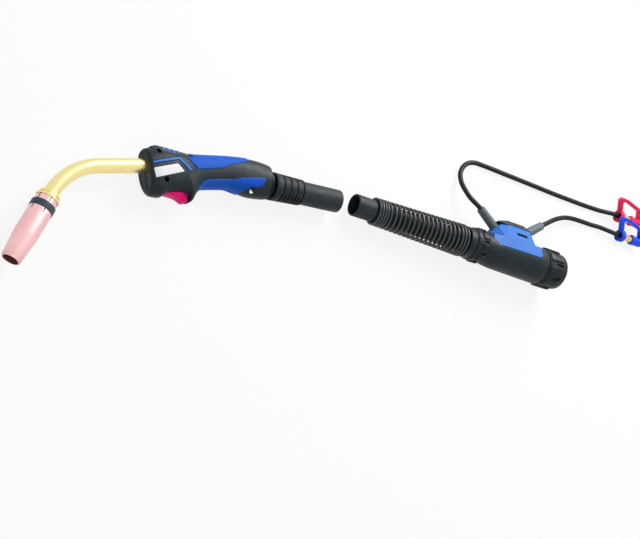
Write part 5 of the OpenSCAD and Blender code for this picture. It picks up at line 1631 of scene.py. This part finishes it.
@dataclass
class MachineEnd:
    """Everything from the open hose end to the coupling nut, along the machine end's axis."""

    lean: float = 17.8
    hose_bore: float = 11.7
    hose_radius: float = 13.5
    hose_len: float = 26.5
    inner_radius: float = 12.9
    inner_end: float = 190.2
    spring_start: float = 28.1
    wire: float = 3.2
    front_d: float = 34.0
    rear_d: float = 41.6
    turns: tuple = ((4, 3.8), (16, 6.8), (3, 4.7))
    collar: Flat = (167.9, 177.9)
    ring: Flat = (178.2, 196.8)
    housing: Flat = (197.1, 296.1)
    nut: Flat = (296.4, 323.4)
    front_gland: tuple = ((219.1, 31.5), 143)
    rear_gland: tuple = ((273.1, 38.5), 35)
    gland_bore: float = 6.6
    skirt: tuple = ((202.5, 1.5, 20.8), (221.5, 1.5, 23.7), (279.4, 1.5, 25.1), (282.4, 4.6, 24.3),
                    (204.5, 16.5, 17.2), (222, 16.5, 21.5), (283, 16.5, 21.3))
    mound: tuple = ((206, 14.5, 8.5), (222, 14.5, 21), (272.8, 14.5, 21.6), (277.5, 14.5, 15),
                    (217.3, 38, 4.6), (236.5, 38, 10.5), (269.5, 38, 10.5), (273.1, 38, 7))
    side_slot: tuple = ((244.2, 24.6, 12.2), (261.8, 28.8, 20.2))
    slot_floor: float = 14.2
    slot_gap: float = 0.05
    cap_form: tuple = ((215.8, 38, 6.6), (222, 38, 9.6), (236.5, 38, 11), (270, 38, 11), (274.2, 38, 7.4),
                       (222.5, 42, 4.8), (236, 44.9, 6), (262.5, 44.9, 6), (271.5, 40.5, 6))
    cap_screw_at: float = 247.1
    cap_screw: SocketScrew = SocketScrew(33, 43.5, 44.9, (0.2, 0.1, 0.35), (1.25, 44.0, 47))

    def hose(self, low: float, high: float, radius: float, edge: float) -> Shape:
        """A stretch of the hose, with the rim at its front rounded."""
        profile = ((self.hose_bore, low), (radius, low), (radius, high), (self.hose_bore, high))
        return Shape.lathe(profile, (edge * 0.6, edge, 0, 0), 96)

    def spring(self) -> Shape:
        """The guard spring: close turns, open turns and close turns again, widening to its rear.

        Returns:
            The spring.
        """
        marks_t, marks_u = [0.0], [0.0]
        for count, pitch in self.turns:
            marks_t.append(marks_t[-1] + count)
            marks_u.append(marks_u[-1] + count * pitch)
        path = []
        for t in np.linspace(0, marks_t[-1], int(marks_t[-1] * 32) + 1):
            u = float(np.interp(t, marks_t, marks_u))
            r = (self.front_d + (self.rear_d - self.front_d) * u / marks_u[-1] - self.wire) / 2
            path += [Vector(p) for p in turned([(r, self.spring_start + u)], 2 * math.pi * t)]
        return Shape.tube(path, self.wire / 2, 12)

    def collar_ring(self) -> Shape:
        """The collar behind the spring.

        Returns:
            The collar.
        """
        a, b = self.collar
        profile = ((13.3, a), (18.9, a), (19.7, a + 1), (19.7, b - 0.2), (13.3, b - 0.2))
        return Shape.lathe(profile, (0.2, 0.5, 0.6, 0.5, 0), 96)

    def housing_line(self, grow: float = 0.0) -> list[Flat]:
        """The housing's outside, from front to rear.

        Args:
            grow: how far outside the surface it lies.
        Returns:
            The radii and the places along X.
        """
        a, b = self.housing
        points = ((19.2, a), (20, a + 0.8), (21.5, a + 9), (22.6, a + 19), (23.1, a + 28), (23.2, a + 38),
                  (24.2, b - 12), (24.2, b - 1.6), (23.9, b - 0.8), (22.6, b))
        return [(r + grow, u) for r, u in points]

    def body(self) -> Shape:
        """The tapered housing with its front nose and its hollow.

        Returns:
            The housing.
        """
        a, b = self.housing
        profile = [(13.3, 177.8), (16.8, 177.8), (16.8, a), *self.housing_line(), (17.9, b), (17.9, b - 16),
                   (20.2, b - 17), (20.2, a + 38), (17, a + 4), (13.3, a + 3)]
        return Shape.lathe(profile, sides=112)

    def _filled(self) -> Shape:
        """The space that the housing fills, for cutting what sits on it.

        Returns:
            The space.
        """
        a, b = self.housing
        line = self.housing_line(-self.slot_gap)
        profile = [(0, a - 2), (line[0][0] + 0.8, a - 2), *line[1:-1], (line[-2][0], b + 2), (0, b + 2)]
        return Shape.lathe(profile, sides=112)

    def _way(self, gland: tuple, sides: int) -> Shape:
        """The round way that a gland lies in."""
        return Shape.rod(self.gland_bore, -10, 50, sides).mapped(PLAIN.branch(*gland))

    def saddle(self) -> Shape:
        """The saddle: a skirt round the housing, a faceted block on it and the ways of the glands.

        Returns:
            The saddle.
        """
        cutters = [self._filled()]
        for gland, near, far in ((self.front_gland, 7.6, 13.0), (self.rear_gland, 7.2, 9.0)):
            dish = Shape.lathe(((0, -2), (near, -2), (far, 12), (0, 12)), sides=56)
            cutters += [self._way(gland, 60), dish.mapped(PLAIN.branch(*gland))]
        (x0, y0, z0), (x1, y1, z1) = self.side_slot
        cutters += [Shape.block((x0, y0, low), (x1, y1, high)) for low, high in ((z0, z1), (-z1, -z0))]
        skirt = Shape.hull(self.skirt).bevelled(0.9, 3, 12)
        return skirt.merged(Shape.hull(self.mound).bevelled(1.1, 4, 12)).cut(*cutters)

    def slot_shade_floors(self) -> Shape:
        """The near-black floors of the saddle's side slots: painted shade in the slots.

        Returns:
            The two floors.
        """
        ((x0, y0, z0), (x1, y1, _)), gap = self.side_slot, self.slot_gap
        left = Shape.block((x0 + gap, y0 + gap, z0), (x1 - gap, y1 - gap, self.slot_floor)).bevelled(0.2, 2)
        return left.added(left.mirrored())

    def cap(self) -> Shape:
        """The faceted cap on the saddle.

        Returns:
            The cap.
        """
        sink = Shape.rod(3.0, 43.4, 60).raised().moved(self.cap_screw_at)
        ways = [self._way(gland, 48) for gland in (self.front_gland, self.rear_gland)]
        return Shape.hull(self.cap_form).bevelled(0.4, 2, 12).cut(sink, *ways)

    @staticmethod
    def gland() -> Shape:
        """A bend relief with a wide base ring, along its hose."""
        profile = ((3.35, -4), (6.4, -4), (6.4, 3), (5.9, 3.5), (6.05, 4.2), (5.4, 31), (4.9, 32), (3.35, 32))
        return Shape.lathe(profile, (0, 0, 0.6, 0.2, 0.6, 0.8, 0.4, 0.3))

    def rings(self) -> tuple[Shape, Shape]:
        """The lobed front ring and the lobed coupling nut.

        Returns:
            The ring and the nut.
        """
        (a, b), (c, d) = self.ring, self.nut
        front = LobedRing(a, b, 21.0, 1.5, (a + 7.6, b - 1.4), (a + 8.4, b - 2.2), 2.4,
                          ((16.85, b), (16.85, a)))
        rim = ((23.4, d + 0.05), (23.4, d + 3.7), (23.2, d + 4.25), (22.6, d + 4.5), (21.2, d + 4.5))
        nut = LobedRing(c, d, 24.3, 1.9, (c + 2, d - 3), (c + 12, c + 22.5), 2.8,
                        ((21.2, c + 4), (17.95, c + 4), (17.95, c)), rim)
        return front.shape(), nut.shape()

    def build(self, shop: Workshop) -> None:
        """Makes and dresses every piece of the machine end.

        Args:
            shop: the workshop.
        """
        at, kit, body = shop.layout.machine, shop.finishes, "machine_end"
        front, nut = self.rings()
        outer = self.hose(0, self.hose_len, self.hose_radius, 0.9)
        # the hose under the spring: its darker seal-rubber finish is painted shade between the coils
        inner = self.hose(self.hose_len, self.inner_end, self.inner_radius, 0)
        screw = self.cap_screw.shape().raised().moved(self.cap_screw_at)
        shop.lay(
            at,
            ("outer_hose_machine", outer, kit.HOSE, "hose_rubber", "machine_hose", body, 32),
            # painted shade: the hose under the spring is drawn darker than the open end
            ("shaded_hose_under_spring", inner, kit.SEAL, "hose_rubber", "machine_hose", body, 32),
            ("guard_spring", self.spring(), kit.SPRING, "spring_steel", "cable_spring", body, 50),
            ("rear_collar", self.collar_ring(), kit.JOINT, "joint_plastic", "spring_collar", body, 32),
            ("lobed_front_ring", front, kit.JOINT, "joint_plastic", "front_ring", "front_ring", 40),
            ("plug_housing", self.body(), kit.SHELL, "shell_plastic", "connector_housing", body, 32),
            ("blue_saddle", self.saddle(), kit.ACCENT, "accent_plastic", "hose_saddle", body, 6.8),
            # painted shade: near-black floors in the saddle's side slots
            ("saddle_slot_shade", self.slot_shade_floors(), kit.RECESS_SHADE, "joint_plastic", "", body, 32),
            ("faceted_cap", self.cap(), kit.JOINT, "joint_plastic", "saddle_cap", body, 24),
            ("cap_screw", screw, kit.STEEL, "bright_steel", "saddle_screw", body, 32))
        for end, gland in (("front", self.front_gland), ("rear", self.rear_gland)):
            shop.place(f"{end}_gland", self.gland(), kit.GLAND, "gland_rubber", f"gland_{end}",
                       at=at.branch(*gland), body=body)
        shop.place("lobed_union_nut", nut, kit.JOINT, "joint_plastic", "union_nut", at=at, body="union_nut",
                   sharp=40)
        shop.dress(machine_core=kit.CORE, plug_body=kit.INNER, plug_seal=kit.SEAL,
                   contact_pin_upper=kit.BRASS, contact_pin_lower=kit.BRASS)
        shop.dress(at, central_plug=kit.BRASS)


# ---- coolant hoses ----


@dataclass
class Coolant:
    """One coolant hose with its coupling plug and its colour clip."""

    colour: str
    middle: tuple
    heights: tuple
    gland: tuple
    finish: Finish
    radius: float = 3.25
    table: float = 0.1
    mount_reach: float = 33.0
    weave: Flat = (0.2, 0.02)
    weave_step: float = 0.325
    cord_step: float = 3.0
    way_out: Flat = (28, 36)
    way_in: Flat = (-12.5, 0)
    clip_roll: float = 30.0
    ring: tuple = ((3.35, -1.2), (5.6, -1.5), (6.9, -3.5), (8.75, -3.5), (8.75, 3.5), (4.3, 3.5), (4.3, 0),
                   (3.35, 0))
    cap: tuple = ((4.55, 20.5), (6.3, 20.5), (7.3, 22.2), (7.3, 24.2), (6.5, 25.2), (6.5, 40.5), (0, 40.5),
                  (0, 33.3), (4.55, 33.3))
    strap: tuple = ((-4, 4), (-4, 22), (1, 26.5), (12, 26.5), (39, 20.5), (40.3, 18.5), (40.3, 4),
                    (35, 4), (35, 16.2), (11, 21.6), (3.5, 21.6), (1.6, 19.5), (1.6, 4))

    def route(self, shop: Workshop, home: Place) -> list[Vector]:
        """The hose's centre line in millimetres of the shared frame.

        Args:
            shop: where the frames are.
            home: the frame of its coupling.
        Returns:
            The points that it runs through.
        """
        way = shop.layout.machine.branch(*self.gland)
        work = shop.layout.work.origin
        points = [way.out((x, 0, 0)) for x in self.way_out]
        for (x, y), high in zip(self.middle, self.heights):
            points.append(Vector((work.x + x, work.y + y, self.radius + self.table + high)))
        return points + [home.out((x, 0, 0)) for x in self.way_in]

    def clip(self) -> Shape:
        """The colour ring, its strap and the dust cap on it, moulded in one piece.

        Returns:
            The clip.
        """
        ring = Shape.lathe(self.ring, (0.2, 0.8, 0.4, 0.7, 0.7, 0.3, 0, 0), 72)
        cap = Shape.lathe(self.cap, (0.3, 0.4, 0.6, 0.6, 0.4, 1.6, 0, 0, 0.3), 72)
        leaned = [(x - 10 * (y - 4) / 23, y) for x, y in self.strap]
        band = Shape.prism(rounded(leaned, (0, 1, 1.5, 2, 2, 1.5, 0, 0, 2, 2, 1.5, 1.5, 0)), -3.8, 3.8)
        band = band.bevelled(0.7, 3, 50).cut(Shape.rod(8.0, -3.4, 3.4), Shape.rod(5.2, 20.6, 33.3))
        return ring.merged(band).merged(cap)

    def build(self, shop: Workshop, home: Place) -> None:
        """Args:
            shop: the workshop.
            home: the frame of its coupling.
        """
        body, plug = "machine_end", f"coupling_plug_{self.colour}"
        curve = Spline(self.route(shop, home)).points(12)
        walk = Spline.even(curve, self.weave_step)
        radii = [self.radius - self.weave[i % 2] for i in range(len(walk))]
        hose = shop.place(f"{self.colour}_hose", Shape.tube(walk, radii, 16), shop.finishes.COOLANT,
                          "coolant_rubber", f"coolant_hose_{self.colour}", body=body, sharp=60)
        clip = shop.place(f"{self.colour}_clip", self.clip(), self.finish, f"clip_{self.colour}",
                          f"coupling_clip_{self.colour}", at=home.rolled(self.clip_roll), body=body)
        shop.dress(home, **{plug: shop.finishes.BRASS})
        path = [p * MM for p in Spline.even(curve, self.cord_step)]
        length = sum((b - a).length for a, b in zip(path, path[1:]))
        LOG.info("%s hose: %.1f mm long", self.colour, length / MM)


# ---- studio ----


@dataclass(frozen=True)
class Lamp:
    """A soft square lamp: its place, what it looks at, its size in metres and its power."""

    name: str
    at: Spot
    aim: Spot
    size: float
    power: float

    def build(self) -> None:
        """Hangs the lamp."""
        data = bpy.data.lights.new(self.name, "AREA")
        data.size = self.size
        data.energy = self.power
        thing = link(self.name, data)
        thing.location = self.at
        thing.rotation_mode = "QUATERNION"
        thing.rotation_quaternion = (Vector(self.aim) - Vector(self.at)).to_track_quat("-Z", "Y")


@dataclass(frozen=True)
class Studio:
    """The camera, the lamps, the world and the pale floor."""

    camera_mm: Spot = (-843.7, -216.4, 1124.8)
    back: Spot = (-0.600, -0.120, 0.791)
    roll: float = -3.65
    lens: float = 68.70
    sensor: float = 36.0
    clip: Flat = (0.05, 20)
    ambient: float = 0.36
    pale: float = 0.86
    floor_half: float = 6.0
    lamps: tuple = (Lamp("key", (1.15, 1.0, 1.15), (0.1, 0.0, 0.0), 1.2, 44.0),
                    Lamp("fill", (-0.7, -0.7, 1.3), (0.1, 0.0, 0.0), 1.4, 3.5))

    def camera(self) -> None:
        """Sets the camera up."""
        back = Vector(self.back).normalized()
        right = (Vector((1, 0, 0)) - back * back.x).normalized()
        up = back.cross(right)
        c, s = cos_sin(self.roll)
        turn = Matrix((right * c + up * s, up * c - right * s, back)).transposed()
        data = bpy.data.cameras.new("camera")
        data.lens = self.lens
        data.sensor_width = self.sensor
        data.sensor_fit = "HORIZONTAL"
        data.clip_start, data.clip_end = self.clip
        thing = link("camera", data)
        thing.matrix_world = Matrix.Translation(Vector(self.camera_mm) * MM) @ turn.to_4x4()
        bpy.context.scene.camera = thing

    @staticmethod
    def _backdrop(w: Wiring, kind: str, share: float, dim: bpy.types.Node) -> Socket:
        """A shader that is white for the rays that show the background: seen, mirrored or seen through.

        Args:
            w: the wiring.
            kind: the type of its white shader.
            share: how much of the white those rays get.
            dim: the shader for all other rays.
        Returns:
            The mixed shader's output.
        """
        path = w.node("LightPath").outputs
        both = w.math("MAXIMUM", path["Is Camera Ray"], path["Is Glossy Ray"])
        seen = w.math("MAXIMUM", both, path["Is Transmission Ray"])
        white = w.node(kind, Color=(1.0, 1.0, 1.0), Strength=1.0)
        return w.node("MixShader", _0=w.math("MULTIPLY", seen, share), _1=dim.outputs[0],
                      _2=white.outputs[0]).outputs[0]

    def world(self) -> None:
        """Lights the scene evenly, before a white background."""
        world = bpy.context.scene.world = bpy.data.worlds.new("studio")
        w = Wiring.blank(world)
        soft = w.node("Background", Color=(1.0, 1.0, 1.0), Strength=self.ambient)
        w.node("OutputWorld", Surface=self._backdrop(w, "Background", 1.0, soft))

    def floor(self) -> None:
        """Lays the pale floor, which keeps a faint shadow."""
        h = self.floor_half
        mesh = bpy.data.meshes.new("floor")
        mesh.from_pydata([(-h, -h, 0), (h, -h, 0), (h, h, 0), (-h, h, 0)], [], [(0, 1, 2, 3)])
        thing = link("floor", mesh)
        material = bpy.data.materials.new("pale floor")
        w = Wiring.blank(material)
        matt = w.node("BsdfDiffuse", Color=(self.pale,) * 3)
        w.node("OutputMaterial", Surface=self._backdrop(w, "Emission", self.pale, matt))
        mesh.materials.append(material)

    def build(self) -> None:
        """Sets the studio up."""
        bpy.context.scene.view_settings.view_transform = "Standard"
        self.world()
        self.floor()
        for lamp in self.lamps:
            lamp.build()


RED_MIDDLE = ((464.4, -43), (461.2, -31.5), (461.6, -20), (466, -8.5), (474, 1), (485, 7), (497.5, 7.8),
              (510, 4.6), (524, 0.4), (546, -6.7), (569, -14), (592, -21.4), (615, -28.8), (638, -36.2),
              (661, -43.2), (684, -50.1), (706, -56.4), (726, -62.2))
RED_HEIGHTS = (15.5, 11.5, 6.6, 2.4, 0.4, 0, 0, 0, 0, 0, 0, 0, 0, 0, 0, 0, 0, 1.5)
BLUE_MIDDLE = ((590, -81.2), (604, -77.4), (618, -74.2), (632, -72.2), (646, -71.2), (660, -71.8), (674, -74),
               (689, -77.6), (704, -81.8), (719, -86.2))
BLUE_HEIGHTS = (19.1, 16.4, 13.3, 9.8, 6.1, 3.1, 1, 0, 0, 1.5)


def main() -> None:
    """Builds the torch in order."""
    logging.basicConfig(level=logging.INFO, format="%(name)s: %(message)s")
    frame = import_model()
    studio = Studio()
    studio.camera()
    shop = Workshop(frame, Layout.read(frame), Finishes())
    machine = MachineEnd()
    kit = shop.finishes
    Coolant("red", RED_MIDDLE, RED_HEIGHTS, machine.front_gland, kit.RED).build(shop, shop.layout.red)
    Coolant("blue", BLUE_MIDDLE, BLUE_HEIGHTS, machine.rear_gland, kit.BLUE).build(shop, shop.layout.blue)
    for part in (TorchEnd(), Handle(), CableJoint(), machine):
        part.build(shop)
    studio.build()
    LOG.info("%d pieces made", shop.count)


if __name__ == "__main__":
    main()
